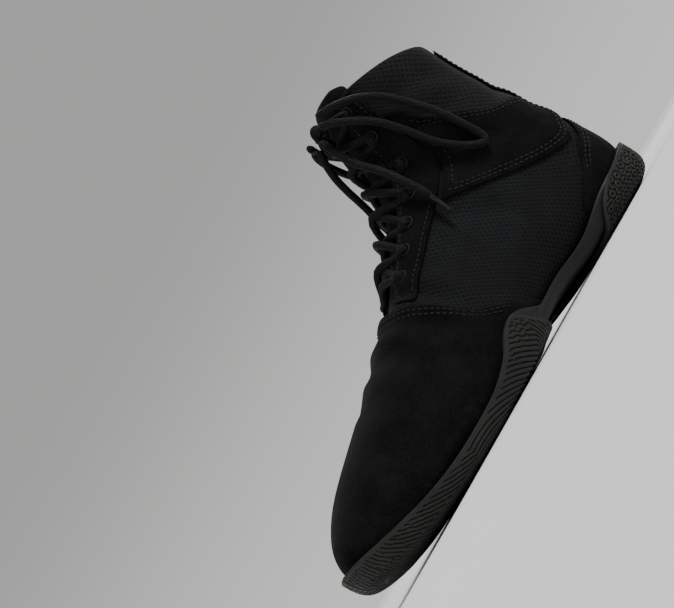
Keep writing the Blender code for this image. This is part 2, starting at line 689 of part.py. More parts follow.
def as_mesh(obj, group):
    """A cord as a closed mesh, for a Boolean."""
    graph = bpy.context.evaluated_depsgraph_get()
    mesh = bpy.data.meshes.new_from_object(obj.evaluated_get(graph))
    made = bmesh.new()
    made.from_mesh(mesh)
    bmesh.ops.remove_doubles(made, verts=made.verts, dist=1e-6)
    bmesh.ops.recalc_face_normals(made, faces=made.faces)
    made.to_mesh(mesh)
    made.free()
    name = obj.name
    bpy.data.objects.remove(obj, do_unlink=True)
    solid = bpy.data.objects.new(name, mesh)
    group.objects.link(solid)
    return solid


def lace_run(start, end, shares):
    """Places of a lace between two (ring, column) points, lying over eyestays and tongue."""
    rows = []
    for share in shares:
        ring, column = np.array(start) + (np.array(end) - np.array(start)) * share
        rows.append(upper_skin(ring, column, over_throat(column)))
    return rows


def lace_crossings(group, cutters, finish):
    """The bar at the throat's base, the crosses above it and the two runs to the knot, in one solid."""
    left, right = EYELET_COLUMN, TURN - EYELET_COLUMN
    rings = eyelet_rings()
    runs = [((rings[0], left), (rings[0], right))]
    for low, high in zip(rings, rings[1:]):
        runs += [((low, left), (high, right)), ((low, right), (high, left))]
    runs += [((rings[-1], left), (KNOT_RING, 6.5)), ((rings[-1], right), (KNOT_RING, TURN - 6.5))]
    solids = []
    for number, (start, end) in enumerate(runs):
        shares = (0.0, 0.5, 1.0) if number > len(runs) - 3 else LACE_BENDS
        tube = cord(f"lace_run_{number}", lace_run(start, end, shares), LACE, cutters, finish, 1)
        solids.append(tube)
    bpy.context.view_layer.update()
    solids = [as_mesh(tube, cutters) for tube in solids]
    body = solids[0]
    body.name = "lace_crossings"
    cutters.objects.unlink(body)
    group.objects.link(body)
    for other in solids[1:]:
        other.hide_render = True
        other.display_type = "WIRE"
        boolean(body, other, "UNION")
    return body


def lace_knot(group, finish):
    """The bow's knot, a rounded lump across the top of the tongue."""
    middle = upper_skin(KNOT_RING, COLUMNS, over_throat(COLUMNS) + KNOT_LIFT)
    bpy.ops.mesh.primitive_uv_sphere_add(segments=12, ring_count=7, radius=1, location=world(*middle))
    knot = bpy.context.object
    knot.name = "lace_knot"
    knot.rotation_euler = (math.radians(KNOT_LEAN), 0, 0)
    knot.scale = KNOT_RADII
    bpy.ops.object.transform_apply(location=False, rotation=False, scale=True)
    knot.data.materials.append(finish)
    for owner in list(knot.users_collection):
        owner.objects.unlink(knot)
    group.objects.link(knot)
    return knot


# Routes of the bow's loops and ends: ring, column and height of the cord's middle in millimetres.
LOOP_ROUTE = [(17.35, 6.22, 9.2), (16.9, 5.85, 9.4), (16.1, 5.35, 8.0), (15.2, 5.0, 5.8), (14.2, 4.8, 4.6),
              (13.4, 4.65, 4.3), (13.0, 4.35, 4.3), (13.3, 4.02, 4.3), (14.3, 3.95, 4.3), (15.5, 4.1, 4.3),
              (16.6, 4.5, 4.8), (17.4, 5.2, 7.4), (17.95, 6.1, 9.0)]
END_ROUTE = [(16.85, 6.72, 8.6), (16.0, 6.55, 9.4), (15.0, 6.4, 9.3), (13.8, 6.25, 9.0), (12.5, 6.05, 8.9),
             (11.4, 5.75, 8.9), (10.7, 5.35, 7.0), (10.2, 4.95, 4.8), (9.8, 4.6, 4.4)]


def routed(route, lateral, steps):
    """Smooth run of (s, w, h) points through a route, on either side of the throat."""
    places = []
    for k in range(steps + 1):
        ring, column, height = through(route, (len(route) - 1) * k / steps)
        places.append(upper_skin(ring, TURN - column if lateral else column, height / 1000))
    return places


def bow(group, finish):
    lace_knot(group, finish)
    for name, lateral in (("medial", False), ("lateral", True)):
        cord("lace_loop_" + name, routed(LOOP_ROUTE, lateral, 18), LACE, group, finish)
        cord("lace_end_" + name, routed(END_ROUTE, lateral, 11), LACE, group, finish)


PLAQUE_ROWS = [(5.3, -0.31, -0.25), (5.6, -0.39, -0.16), (6.4, -0.40, -0.12), (6.75, -0.37, -0.26)]


def main():
    clear_scene()
    shoe = collection("wrestling_shoe")
    cutters = collection("cutters")
    cutters.hide_render = True
    suede = material("suede", (0.012, 0.012, 0.013), 0.9)
    knit = material("knit", (0.02, 0.022, 0.027), 0.8)
    rubber = material("rubber", (0.03, 0.03, 0.028), 0.55)
    shank = material("shank_rubber", (0.035, 0.037, 0.036), 0.45)
    lace = material("lace", (0.012, 0.012, 0.013), 0.85)
    foam = material("foam", (0.02, 0.02, 0.02), 0.95)
    upper(shoe, knit)
    suede_overlays(shoe, suede)
    panel("insole", INSOLE_AREA, "back", -(WALL + INSOLE_GAP), INSOLE, shoe, foam, inward=True)
    panel("tongue", TONGUE_AREA, "top", -(WALL + TONGUE_GAP), TONGUE, shoe, knit, inward=True)
    base(shoe, last_cutter(cutters), shank)
    outsole(shoe, rubber)
    pad("shank_plaque", PLAQUE_ROWS, shoe, rubber, PLAQUE)
    lace_crossings(shoe, cutters, lace)
    bow(shoe, lace)


main()
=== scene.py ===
# %% [markdown]
# # A wrestling shoe for the right foot
# The shoe is a thin sock of knitted mesh with suede sewn over it, a cup of smooth rubber under it, and
# grippy pads on the cup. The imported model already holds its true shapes. This lesson dresses them: each
# piece is copied, smoothed and given the finish of the real thing.

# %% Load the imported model
import math
import bmesh
import bpy
import numpy as np
from mathutils import Matrix, Vector
from mathutils.bvhtree import BVHTree


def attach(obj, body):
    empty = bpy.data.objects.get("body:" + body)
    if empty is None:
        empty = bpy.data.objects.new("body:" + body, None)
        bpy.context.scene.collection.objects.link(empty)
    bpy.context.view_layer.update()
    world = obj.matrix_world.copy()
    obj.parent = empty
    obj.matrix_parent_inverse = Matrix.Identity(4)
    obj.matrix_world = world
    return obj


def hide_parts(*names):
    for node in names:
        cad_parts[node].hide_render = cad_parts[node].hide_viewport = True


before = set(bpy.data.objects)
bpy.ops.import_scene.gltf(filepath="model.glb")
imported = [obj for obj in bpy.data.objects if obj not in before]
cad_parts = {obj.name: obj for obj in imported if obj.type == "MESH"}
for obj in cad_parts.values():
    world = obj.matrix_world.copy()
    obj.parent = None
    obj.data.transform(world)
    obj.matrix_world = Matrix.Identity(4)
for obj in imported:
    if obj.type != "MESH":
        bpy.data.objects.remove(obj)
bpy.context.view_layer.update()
print("nodes:", sorted(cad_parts))

# %% [markdown]
# ## The camera
# The photo looks at the inner side of the shoe, from a little in front of it and from far below. Here the
# shoe stands on a floor, so the camera comes down only as far as the floor lets it. Then it is rolled, so
# that the toe points down to the left as in the photo. The aim is worked out first, and the roll is a turn
# about the line of sight.

# %% Camera
AIM = Vector((0.0, -0.127, 0.100))
CAMERA_AZIMUTH, CAMERA_FLOOR, CAMERA_AWAY, CAMERA_ROLL, CAMERA_LENS = 62.0, 0.010, 0.86, -60.0, 94
around = math.radians(CAMERA_AZIMUTH)
place = AIM + CAMERA_AWAY * Vector((math.sin(around), -math.cos(around), 0.0))
place.z = CAMERA_FLOOR
bpy.ops.object.camera_add(location=place)
camera = bpy.context.object
sight = (AIM - place).to_track_quat("-Z", "Y").to_matrix().to_4x4()
camera.matrix_world = Matrix.Translation(place) @ sight @ Matrix.Rotation(math.radians(CAMERA_ROLL), 4, "Z")
camera.data.lens = CAMERA_LENS
camera.data.clip_start = 0.02
bpy.context.scene.camera = camera
print("camera at", [round(v, 3) for v in place])

# %% [markdown]
# ## Helpers for mesh work
# An operator acts on all that is selected, so everything is deselected before each step. A copy of a packed
# piece arrives as loose triangles. It is merged and turned back into quads, so that a subdivision surface
# can round it like cloth or moulded rubber.

# %% Helpers
MERGE_WITHIN = 0.00002
QUAD_TILT, QUAD_SKEW, SHARP_EDGE = math.radians(35), math.radians(70), math.radians(50)


def only(*objects):
    bpy.ops.object.select_all(action="DESELECT")
    for obj in objects:
        obj.select_set(True)
    bpy.context.view_layer.objects.active = objects[0]


def joined(pieces, name):
    """One piece made of several. It rides on the shoe."""
    only(*pieces)
    bpy.ops.object.join()
    whole = bpy.context.object
    whole.name = name
    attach(whole, "root")
    return whole


def new_piece(name, mesh):
    piece = bpy.data.objects.new(name, mesh)
    bpy.context.scene.collection.objects.link(piece)
    return piece


def dressed_copy(node, name, levels, crease=0.0):
    """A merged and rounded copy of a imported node, which it replaces."""
    only(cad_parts[node])
    bpy.ops.object.duplicate()
    piece = bpy.context.object
    piece.name = name
    for modifier in list(piece.modifiers):
        piece.modifiers.remove(modifier)
    piece.data.materials.clear()
    bpy.ops.object.mode_set(mode="EDIT")
    bpy.ops.mesh.select_all(action="SELECT")
    bpy.ops.mesh.remove_doubles(threshold=MERGE_WITHIN)
    bpy.ops.mesh.tris_convert_to_quads(face_threshold=QUAD_TILT, shape_threshold=QUAD_SKEW)
    bpy.ops.object.mode_set(mode="OBJECT")
    if crease:
        mark_creases(piece, crease)
    rounding = piece.modifiers.new("rounding", "SUBSURF")
    rounding.levels = rounding.render_levels = levels
    only(piece)
    bpy.ops.object.modifier_apply(modifier=rounding.name)
    bpy.ops.object.shade_smooth()
    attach(piece, "root")
    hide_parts(node)
    return piece


def mark_creases(piece, amount):
    """Keeps the sharp borders of a piece from rounding away."""
    shape = bmesh.new()
    shape.from_mesh(piece.data)
    layers = shape.edges.layers.float
    layer = layers.get("crease_edge") or layers.new("crease_edge")
    for edge in shape.edges:
        if len(edge.link_faces) == 2 and edge.calc_face_angle() > SHARP_EDGE:
            edge[layer] = amount
    shape.to_mesh(piece.data)
    shape.free()


def points_of(piece):
    flat = np.empty(len(piece.data.vertices) * 3)
    piece.data.vertices.foreach_get("co", flat)
    return flat.reshape(-1, 3)


def set_points(piece, points):
    piece.data.vertices.foreach_set("co", np.ascontiguousarray(points, float).ravel())
    piece.data.update()


def skin_tree(mesh):
    """Finds the nearest place on a mesh, and which way the mesh faces there."""
    return BVHTree.FromPolygons([v.co for v in mesh.vertices], [p.vertices for p in mesh.polygons])


def unit(vector):
    return vector / np.linalg.norm(vector)


# %% [markdown]
# ## The laces' route
# A round lace of 4.2 mm runs over a bar at the foot of the throat, crosses itself six times and ends in a
# bow. The bow's two loops and two ends hang free, so they are cords with a real length. Their routes are
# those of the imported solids, in metres. The tube is made ring by ring along the route, with a UV map whose
# U goes round and whose V goes along, because the braid of the lace needs both.

# %% Lace tube
LACE, TIP_LENGTH = 0.0042, 0.014
TIP_SHARE, END_SHARE = 0.62, 0.7  # of the lace's radius
V_PER_METRE = 10
NEVER_ALONG = (0.13, 0.31, 0.94)  # a direction that no lace starts in


def smooth_route(points, steps):
    """A finer route through the same points."""
    points = np.asarray(points, float)
    padded = np.vstack([2 * points[0] - points[1], points, 2 * points[-1] - points[-2]])
    found = []
    for i in range(1, len(padded) - 2):
        for k in range(steps):
            f = k / steps
            a, b, c, d = padded[i - 1:i + 3]
            found.append(0.5 * (2 * b + (c - a) * f + (2 * a - 5 * b + 4 * c - d) * f * f
                                + (3 * b - a - 3 * c + d) * f ** 3))
    return np.array(found + [points[-1]])


def distances_along(route):
    """How far along the route each of its points is."""
    return np.concatenate([[0], np.cumsum(np.linalg.norm(np.diff(route, axis=0), axis=1))])


def lace_tube(name, route, radius=LACE / 2, sides=12, tip=0.0):
    """A closed tube along the route. tip is the length of a hard plastic end, made slimmer."""
    route = np.asarray(route, float)
    ahead = np.gradient(route, axis=0)
    ahead /= np.linalg.norm(ahead, axis=1)[:, None]
    along = distances_along(route)
    side = np.cross(ahead[0], NEVER_ALONG)
    shape = bmesh.new()
    uv = shape.loops.layers.uv.new("cloth")
    rings = []
    for k, (point, forward) in enumerate(zip(route, ahead)):
        side = side - forward * np.dot(side, forward)
        side /= np.linalg.norm(side)
        up = np.cross(forward, side)
        left = along[-1] - along[k]
        size = radius * (TIP_SHARE if tip and left < tip else 1.0)
        if k in (0, len(route) - 1):
            size *= END_SHARE
        ring = []
        for s in range(sides):
            angle = 2 * math.pi * s / sides
            ring.append(shape.verts.new(point + size * (math.cos(angle) * side + math.sin(angle) * up)))
        rings.append(ring)
    for k in range(len(rings) - 1):
        for s in range(sides):
            n = (s + 1) % sides
            face = shape.faces.new((rings[k][s], rings[k][n], rings[k + 1][n], rings[k + 1][s]))
            face.smooth = True
            for loop, (u, v) in zip(face.loops, ((s, k), (s + 1, k), (s + 1, k + 1), (s, k + 1))):
                loop[uv].uv = (u / sides, along[v] * V_PER_METRE)
    shape.faces.new(rings[0][::-1])
    shape.faces.new(rings[-1])
    mesh = bpy.data.meshes.new(name)
    shape.to_mesh(mesh)
    shape.free()
    return new_piece(name, mesh)


def length_of(route):
    return float(distances_along(route)[-1])


# %% Knot of the bow
KNOT = np.array((0.0, -0.0462, 0.1558))
bar = [KNOT + (x, -0.0014 * math.cos(x * 260), 0.0006 * math.sin(x * 400))
       for x in np.linspace(-0.0062, 0.0062, 9)]
wrap = [KNOT + (0.0009 * math.sin(a), 0.0030 * math.cos(a), 0.0036 * math.sin(a))
        for a in np.linspace(0.3, 2 * math.pi + 0.3, 15)]
bow_knot = joined([lace_tube("knot_bar", smooth_route(bar, 3), radius=0.0021),
                   lace_tube("knot_wrap", smooth_route(wrap, 3), radius=0.0018)], "bow_knot")
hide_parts("lace_knot")
print("knot:", [round(v, 4) for v in bow_knot.dimensions])

# %% Bow: loops and ends
LOOP = [(0.0128, -0.0501, 0.1548), (0.0171, -0.0493, 0.1517), (0.0214, -0.0473, 0.1464),
        (0.0257, -0.0438, 0.1382), (0.0278, -0.0404, 0.1294), (0.0287, -0.0379, 0.1193),
        (0.0287, -0.0361, 0.1092), (0.0289, -0.0346, 0.1005), (0.0297, -0.0316, 0.0920),
        (0.0308, -0.0275, 0.0841), (0.0317, -0.0223, 0.0790), (0.0322, -0.0193, 0.0818),
        (0.0324, -0.0193, 0.0928), (0.0323, -0.0204, 0.1074), (0.0312, -0.0235, 0.1222),
        (0.0302, -0.0276, 0.1350), (0.0290, -0.0345, 0.1451), (0.0239, -0.0418, 0.1531),
        (0.0151, -0.0474, 0.1593)]
END = [(0.0042, -0.0527, 0.1517), (0.0065, -0.0550, 0.1471), (0.0089, -0.0568, 0.1424),
       (0.0113, -0.0585, 0.1361), (0.0137, -0.0595, 0.1290), (0.0167, -0.0596, 0.1220),
       (0.0198, -0.0598, 0.1151), (0.0230, -0.0608, 0.1076), (0.0253, -0.0615, 0.0988),
       (0.0268, -0.0624, 0.0900), (0.0280, -0.0639, 0.0820), (0.0295, -0.0662, 0.0748)]
bow = []
for side, sign in (("medial", 1), ("lateral", -1)):
    for kind, points, tip, end in (("loop", LOOP, 0.0, "knot"), ("end", END, TIP_LENGTH, "bare")):
        route = smooth_route(np.array(points) * (sign, 1, 1), 6)
        node = f"lace_{kind}_{side}"
        piece = lace_tube(f"bow_{kind}_{side}", route, tip=tip)
        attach(piece, "root")
        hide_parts(node)
        bow.append(piece)
        print(piece.name, "is", round(length_of(route) * 1000), "mm long")

# %% [markdown]
# ## The crossed lace
# On the real shoe the lace goes down through a punched hole, crosses under the suede and comes up through
# the next one. Each run seen from outside is one arch: out of a hole, over the edge of the suede, across
# the tongue and into the hole above on the other side. Where two runs cross, one passes over the other.

# %% Crossed lace
EYELETS = [(0.0173, -0.1054, 0.0791), (0.0173, -0.0914, 0.0848), (0.0178, -0.0772, 0.0911),
           (0.0187, -0.0626, 0.0981), (0.0187, -0.0492, 0.1097), (0.0189, -0.0447, 0.1294),
           (0.0184, -0.0396, 0.1470)]
UNDER_EYELETS = [(0.0138, -0.1039, 0.0749), (0.0133, -0.0897, 0.0811), (0.0134, -0.0756, 0.0880),
                 (0.0139, -0.0611, 0.0957), (0.0138, -0.0468, 0.1085), (0.0147, -0.0411, 0.1284),
                 (0.0146, -0.0356, 0.1459)]
LATERAL_SHIFT = [0.0022, 0.0021, 0.0019, 0.0009, 0.0002, 0.0, 0.0]
THROAT_LINE = [(-0.1054, 0.0851), (-0.0984, 0.0887), (-0.0850, 0.0968), (-0.0726, 0.1062), (-0.0621, 0.1168),
               (-0.0549, 0.1288), (-0.0485, 0.1424), (-0.0449, 0.1545)]
OVER, UNDER, BAR_HEIGHT = 0.0034, -0.0006, 0.0005
IN_HOLE, AT_HOLE, OUT_OF_HOLE, OVER_EDGE = -0.0045, -0.0005, 0.0024, 0.0028
LEANING, PAST_EDGE = 0.0022, 0.0062


def eyelet(number, side):
    """(place on the suede, direction out of it) of an eyelet. side is 1 for medial and -1 for lateral."""
    shift = LATERAL_SHIFT[number] if side < 0 else 0.0
    top, low = np.array(EYELETS[number]), np.array(UNDER_EYELETS[number])
    return (top + (shift, 0, 0)) * (side, 1, 1), unit(top - low) * (side, 1, 1)


def throat(number):
    """(place in the middle of the throat, direction out of it)."""
    line = np.array(THROAT_LINE)
    step = unit(line[min(number + 1, len(line) - 1)] - line[max(number - 1, 0)])
    return np.array((0.0, *line[number])), np.array((0.0, -step[1], step[0]))


def arch(start, end, middle, height):
    """A run from hole to hole. Each place comes with the direction out of it."""
    (a, out_a), (b, out_b), (centre, out) = start, end, middle
    across = unit(b - a)
    return smooth_route([a + IN_HOLE * out_a, a + AT_HOLE * out_a,
                         a + OUT_OF_HOLE * out_a + LEANING * across,
                         a + OVER_EDGE * out_a + PAST_EDGE * across,
                         centre + height * out,
                         b + OVER_EDGE * out_b - PAST_EDGE * across,
                         b + OUT_OF_HOLE * out_b - LEANING * across,
                         b + AT_HOLE * out_b, b + IN_HOLE * out_b], 5)


runs = [lace_tube("run", arch(eyelet(0, 1), eyelet(0, -1), throat(0), BAR_HEIGHT))]
for k in range(len(EYELETS) - 1):
    first = 1 if k % 2 else -1
    for side, height in ((first, OVER), (-first, UNDER)):
        runs.append(lace_tube("run", arch(eyelet(k, side), eyelet(k + 1, -side), throat(k + 1), height)))
for side in (1, -1):
    top, out = eyelet(len(EYELETS) - 1, side)
    to_knot = [top + IN_HOLE * out, top + AT_HOLE * out, top + 0.0026 * out + (-0.002 * side, 0, 0.0008),
               (0.0120 * side, -0.0445, 0.1520), (0.0066 * side, -0.0448, 0.1549),
               (0.0035 * side, -0.0455, 0.1556)]
    runs.append(lace_tube("run", smooth_route(to_knot, 5)))
crossed_lace = joined(runs, "crossed_lace")
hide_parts("lace_crossings")
print("crossed lace:", len(crossed_lace.data.polygons), "faces")

# %% [markdown]
# ## The sock and the suede
# The knitted sock, the tongue and the footbed are copies rounded by a subdivision surface. The suede
# panels are copies too.

# %% Sock, tongue, footbed and suede
SUEDE_NODES = ["vamp", "eyestay_medial", "eyestay_lateral", "ankle_band_medial", "ankle_band_lateral",
               "heel_counter", "back_strip"]
sock = dressed_copy("upper", "sock", 2)
tongue = dressed_copy("tongue", "tongue_pad", 2)
footbed = dressed_copy("insole", "footbed", 1)
suede_pieces = {node: dressed_copy(node, node + "_suede", 2) for node in SUEDE_NODES}
print("sock:", len(sock.data.polygons), "faces")

# %% [markdown]
# ## Stitches
# Suede is sewn down with a row of thread near each border, and with two rows where it carries most. A row
# keeps one distance from the border, so it is a contour: the distance to the border is worked out at each
# vertex of the panel's outer face, and the row runs where that distance is the needle's. One stitch is
# modelled and repeated along it.

# %% Distance to the border
sock_tree = skin_tree(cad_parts["upper"].data)
SAME_WAY = 0.6  # the least cosine between a panel's outer face and what is under it


def outer_triangles(piece, under_it=sock_tree):
    """The triangles that look away from what is under the piece, and the edges of their border."""
    piece.data.calc_loop_triangles()
    outer = []
    for triangle in piece.data.loop_triangles:
        skin = under_it.find_nearest(triangle.center)[1]
        if triangle.normal.dot(skin) > SAME_WAY:
            outer.append(tuple(triangle.vertices))
    pairs = np.sort(np.array(outer)[:, [[0, 1], [1, 2], [2, 0]]].reshape(-1, 2), axis=1)
    edges, uses = np.unique(pairs, axis=0, return_counts=True)
    return outer, edges[uses == 1]


def border_distance(points, border):
    """Distance of each point from the nearest border edge."""
    starts = points[border[:, 0]]
    steps = points[border[:, 1]] - starts
    lengths = np.maximum((steps ** 2).sum(1), 1e-12)
    found = np.full(len(points), 1.0)
    for k, point in enumerate(points):
        t = np.clip(((point - starts) * steps).sum(1) / lengths, 0, 1)
        found[k] = np.sqrt(((starts + t[:, None] * steps - point) ** 2).sum(1).min())
    return found


def contour(points, triangles, field, level):
    """Chains of points where the field equals the level."""
    places, links = {}, {}
    for corners in triangles:
        cut = []
        for a, b in zip(corners, corners[1:] + corners[:1]):
            if (field[a] < level) != (field[b] < level):
                key = (min(a, b), max(a, b))
                share = (level - field[a]) / (field[b] - field[a])
                places[key] = points[a] + share * (points[b] - points[a])
                cut.append(key)
        if len(cut) == 2:
            links.setdefault(cut[0], []).append(cut[1])
            links.setdefault(cut[1], []).append(cut[0])
    left, chains = dict.fromkeys(sorted(links, key=lambda key: (len(links[key]), key))), []
    while left:
        here = next(iter(left))
        chain = []
        while here is not None:
            left.pop(here)
            chain.append(places[here])
            here = next((key for key in links[here] if key in left), None)
        chains.append(np.array(chain))
    return chains


def even(points, pitch):
    """The same chain with its points about one pitch apart."""
    reach = distances_along(points)
    marks = np.linspace(0, reach[-1], max(2, int(round(reach[-1] / pitch)) + 1))
    return np.stack([np.interp(marks, reach, points[:, k]) for k in range(3)], 1)


STITCH_PITCH, FINE_PITCH, SMOOTHINGS = 0.0031, 0.0015, 6


def sewn_rows(node, insets, keep):
    """(place, tangent, normal) of each stitch of the rows on one panel."""
    piece = suede_pieces[node]
    points = points_of(piece)
    triangles, border = outer_triangles(piece)
    field = border_distance(points, border)
    tree = skin_tree(piece.data)
    found = []
    for inset in insets:
        for chain in contour(points, triangles, field, inset):
            chain = even(chain, FINE_PITCH)
            for _ in range(SMOOTHINGS):
                chain[1:-1] = (chain[:-2] + 2 * chain[1:-1] + chain[2:]) / 4
            row = even(chain, STITCH_PITCH)
            for a, b in zip(row, row[1:]):
                nearest, normal = tree.find_nearest(Vector((a + b) / 2))[:2]
                if keep(nearest) and np.linalg.norm(b - a) > 0.5 * STITCH_PITCH:
                    found.append((nearest, Vector(b - a).normalized(), normal))
    print(node, "stitches:", len(found))
    return found


# %% Stitches
bpy.ops.mesh.primitive_uv_sphere_add(segments=8, ring_count=5, radius=1, location=(0, 0, 0))
one_stitch = bpy.context.object
HALF_STITCH = np.array((0.00115, 0.00036, 0.00034))
RAISED, CLEAR_OF_SEAM = 0.0001, 0.0066
stitch_points = points_of(one_stitch) * HALF_STITCH
stitch_faces = [tuple(p.vertices) for p in one_stitch.data.polygons]
bpy.data.objects.remove(one_stitch, do_unlink=True)


def thread(name, frames):
    """One piece with a stitch at each frame, turned along its row."""
    points, faces = [], []
    for place, tangent, normal in frames:
        side = normal.cross(tangent).normalized()
        ahead = side.cross(normal)
        turn = np.array((ahead, side, normal))
        start = len(points)
        points += [tuple(p) for p in stitch_points @ turn + np.array(place + normal * RAISED)]
        faces += [tuple(k + start for k in face) for face in stitch_faces]
    mesh = bpy.data.meshes.new(name)
    mesh.from_pydata(points, [], faces)
    mesh.shade_smooth()
    piece = new_piece(name, mesh)
    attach(piece, "root")
    return piece


def above(low, *neighbours):
    """Keeps the stitches above a height, and away from the panels that this one runs into."""
    trees = [skin_tree(suede_pieces[node].data) for node in neighbours]
    return lambda place: place.z > low and all(tree.find_nearest(place)[3] > CLEAR_OF_SEAM for tree in trees)


SINGLE, DOUBLE = (0.0024,), (0.0024, 0.0046)
VAMP_LOW, VAMP_REAR = 0.026, -0.175
ROWS = [("vamp", DOUBLE, lambda place: place.z > VAMP_LOW and place.y > VAMP_REAR),
        *[(f"eyestay_{side}", SINGLE, above(0.03, f"ankle_band_{side}")) for side in ("medial", "lateral")],
        *[(f"ankle_band_{side}", DOUBLE, above(0.03, f"eyestay_{side}")) for side in ("medial", "lateral")],
        ("heel_counter", DOUBLE, above(0.028)), ("back_strip", SINGLE, above(0.03))]
stitch_frames = [stitch for node, insets, keep in ROWS for stitch in sewn_rows(node, insets, keep)]
threads = thread("suede_threads", stitch_frames)
print("stitches:", len(stitch_frames), "faces:", len(threads.data.polygons))

# %% [markdown]
# ## Creases
# Worn fabric folds where the foot bends: across the throat's foot, in front of the ankle and at the back of
# the heel. Each row is one soft trough, with the places of its two ends on the shoe, its width and its
# depth. Both sides get it. What lies on the sock moves with it, so the thread is folded here too, once it
# has been sewn along the smooth panels.

# %% Creases
CREASES = [
    # y and z of both ends, width, depth
    ((-0.1230, 0.100), (-0.1060, 0.030), 0.0044, 0.0019),
    ((-0.1390, 0.096), (-0.1210, 0.028), 0.0046, 0.0021),
    ((-0.1570, 0.090), (-0.1430, 0.030), 0.0048, 0.0019),
    ((-0.1750, 0.082), (-0.1660, 0.032), 0.0048, 0.0014),
    ((-0.0540, 0.098), (-0.0080, 0.074), 0.0050, 0.0015),
    ((-0.0440, 0.116), (0.0040, 0.100), 0.0052, 0.0014),
    ((-0.0400, 0.134), (0.0140, 0.118), 0.0050, 0.0011),
    ((0.0300, 0.074), (-0.0140, 0.058), 0.0054, 0.0018),
    ((0.0300, 0.096), (-0.0060, 0.088), 0.0050, 0.0015),
    ((-0.0740, 0.080), (-0.0420, 0.048), 0.0060, 0.0018),
]
MIDDLE_END = -0.005  # y where the foot's middle line stops, at the ankle
MIDDLE_BELOW, MIDDLE_LOWEST = 0.02, 0.03  # how far the line runs under a point, and its least height
FOLD_BOW, FADING = 0.0025, 0.3  # how far a fold bows, and the share of its length over which it fades
RIDGE, RIDGE_AT, RIDGE_WIDTH = 0.45, 1.9, 1.2  # shares of the trough's depth and width


def creased(points):
    moved = points.copy()
    middle = np.stack([0 * points[:, 0], np.minimum(points[:, 1], MIDDLE_END),
                       np.maximum(points[:, 2] - MIDDLE_BELOW, MIDDLE_LOWEST)], 1)
    outward = points - middle
    outward /= np.maximum(np.linalg.norm(outward, axis=1), 1e-6)[:, None]
    for (y0, z0), (y1, z1), width, depth in CREASES:
        a, b = np.array((y0, z0)), np.array((y1, z1))
        along = unit(b - a)
        local = points[:, 1:] - a
        t = local @ along / np.linalg.norm(b - a)
        across = local @ np.array((-along[1], along[0])) - FOLD_BOW * np.sin(np.clip(t, 0, 1) * math.pi)
        ends = np.clip(t / FADING, 0, 1) * np.clip((1 - t) / FADING, 0, 1)
        ridge = np.exp(-((across - RIDGE_AT * width) / (RIDGE_WIDTH * width)) ** 2)
        trough = np.exp(-(across / width) ** 2) - RIDGE * ridge
        moved -= outward * (depth * trough * ends)[:, None]
    return moved


for piece in [sock, *suede_pieces.values(), threads]:
    set_points(piece, creased(points_of(piece)))
print("creases:", len(CREASES))

# %% [markdown]
# ## Eyelets
# The eyelets are holes punched through suede and sock, with no metal. Each is a low pressed rim round a
# dark disc at the hole's mouth, painted shade that stands in for the hole's depth. The lace goes down into
# it.

# %% Eyelets
RIM_RADIUS, RIM_THICKNESS, RIM_FLATNESS, RIM_ABOVE = 0.0030, 0.00055, 0.7, 0.00005
MOUTH_RADIUS, MOUTH_THICKNESS, MOUTH_ABOVE = 0.0027, 0.0004, 0.00025


def set_down(piece, place, out):
    """Turns a piece that was made at the origin to face out, and puts it at its place."""
    piece.rotation_euler = Vector(out).to_track_quat("Z", "Y").to_euler()
    piece.location = place
    bpy.ops.object.transform_apply(location=True, rotation=True, scale=True)
    return piece


def pressed_rim(place, out):
    bpy.ops.mesh.primitive_torus_add(major_segments=24, minor_segments=8, major_radius=RIM_RADIUS,
                                     minor_radius=RIM_THICKNESS)
    bpy.ops.object.shade_smooth()
    ring = bpy.context.object
    ring.scale = (1, 1, RIM_FLATNESS)
    return set_down(ring, place + RIM_ABOVE * out, out)


# A near-black disc over each hole: painted shade where the hole goes down through suede and sock.
def painted_hole_shade(place, out):
    bpy.ops.mesh.primitive_circle_add(vertices=20, radius=MOUTH_RADIUS, fill_type="NGON")
    bpy.ops.object.mode_set(mode="EDIT")
    bpy.ops.mesh.extrude_region_move(TRANSFORM_OT_translate={"value": (0, 0, -MOUTH_THICKNESS)})
    bpy.ops.mesh.select_all(action="SELECT")
    bpy.ops.mesh.normals_make_consistent(inside=False)
    bpy.ops.object.mode_set(mode="OBJECT")
    return set_down(bpy.context.object, place + MOUTH_ABOVE * out, out)


holes = [eyelet(number, side) for number in range(len(EYELETS)) for side in (1, -1)]
eyelet_rims = joined([pressed_rim(place, out) for place, out in holes], "eyelet_rims")
eyelet_hole_shades = joined([painted_hole_shade(place, out) for place, out in holes], "eyelet_hole_shades")
print("eyelets:", len(holes))

# %% [markdown]
# ## The rubber sole
# The cup, the pads under it and the plaque are moulded rubber. A mould leaves no knife edges, so each copy
# is rounded while its borders stay almost sharp. That is what a crease on an edge does.

# %% Sole pieces
SOLE = {"sole_base": "cup", "forefoot_outsole": "forefoot_pad", "heel_outsole": "heel_pad",
        "lateral_forefoot_strip": "forefoot_strip", "lateral_heel_panel": "heel_panel",
        "shank_plaque": "plaque"}
ALMOST_SHARP = 0.7
LEVELS = {"sole_base": 2, "shank_plaque": 2, "forefoot_outsole": 4, "heel_outsole": 4}
sole = {node: dressed_copy(node, name, LEVELS.get(node, 3), ALMOST_SHARP) for node, name in SOLE.items()}
print("sole pieces:", {name: len(sole[node].data.polygons) for node, name in SOLE.items()})

# %% [markdown]
# ## Node helpers
# A material is a small graph. These helpers add one node each and hand back its output, so that a graph
# reads like a sum. Given no tree they work the same sum out in numbers, so that one pattern can be both
# drawn in a material and pressed into a mesh. An effect that more than one material needs is a node group.

# %% Node helpers
def put(tree, socket, value):
    if isinstance(value, bpy.types.NodeSocket):
        tree.links.new(value, socket)
    else:
        socket.default_value = value


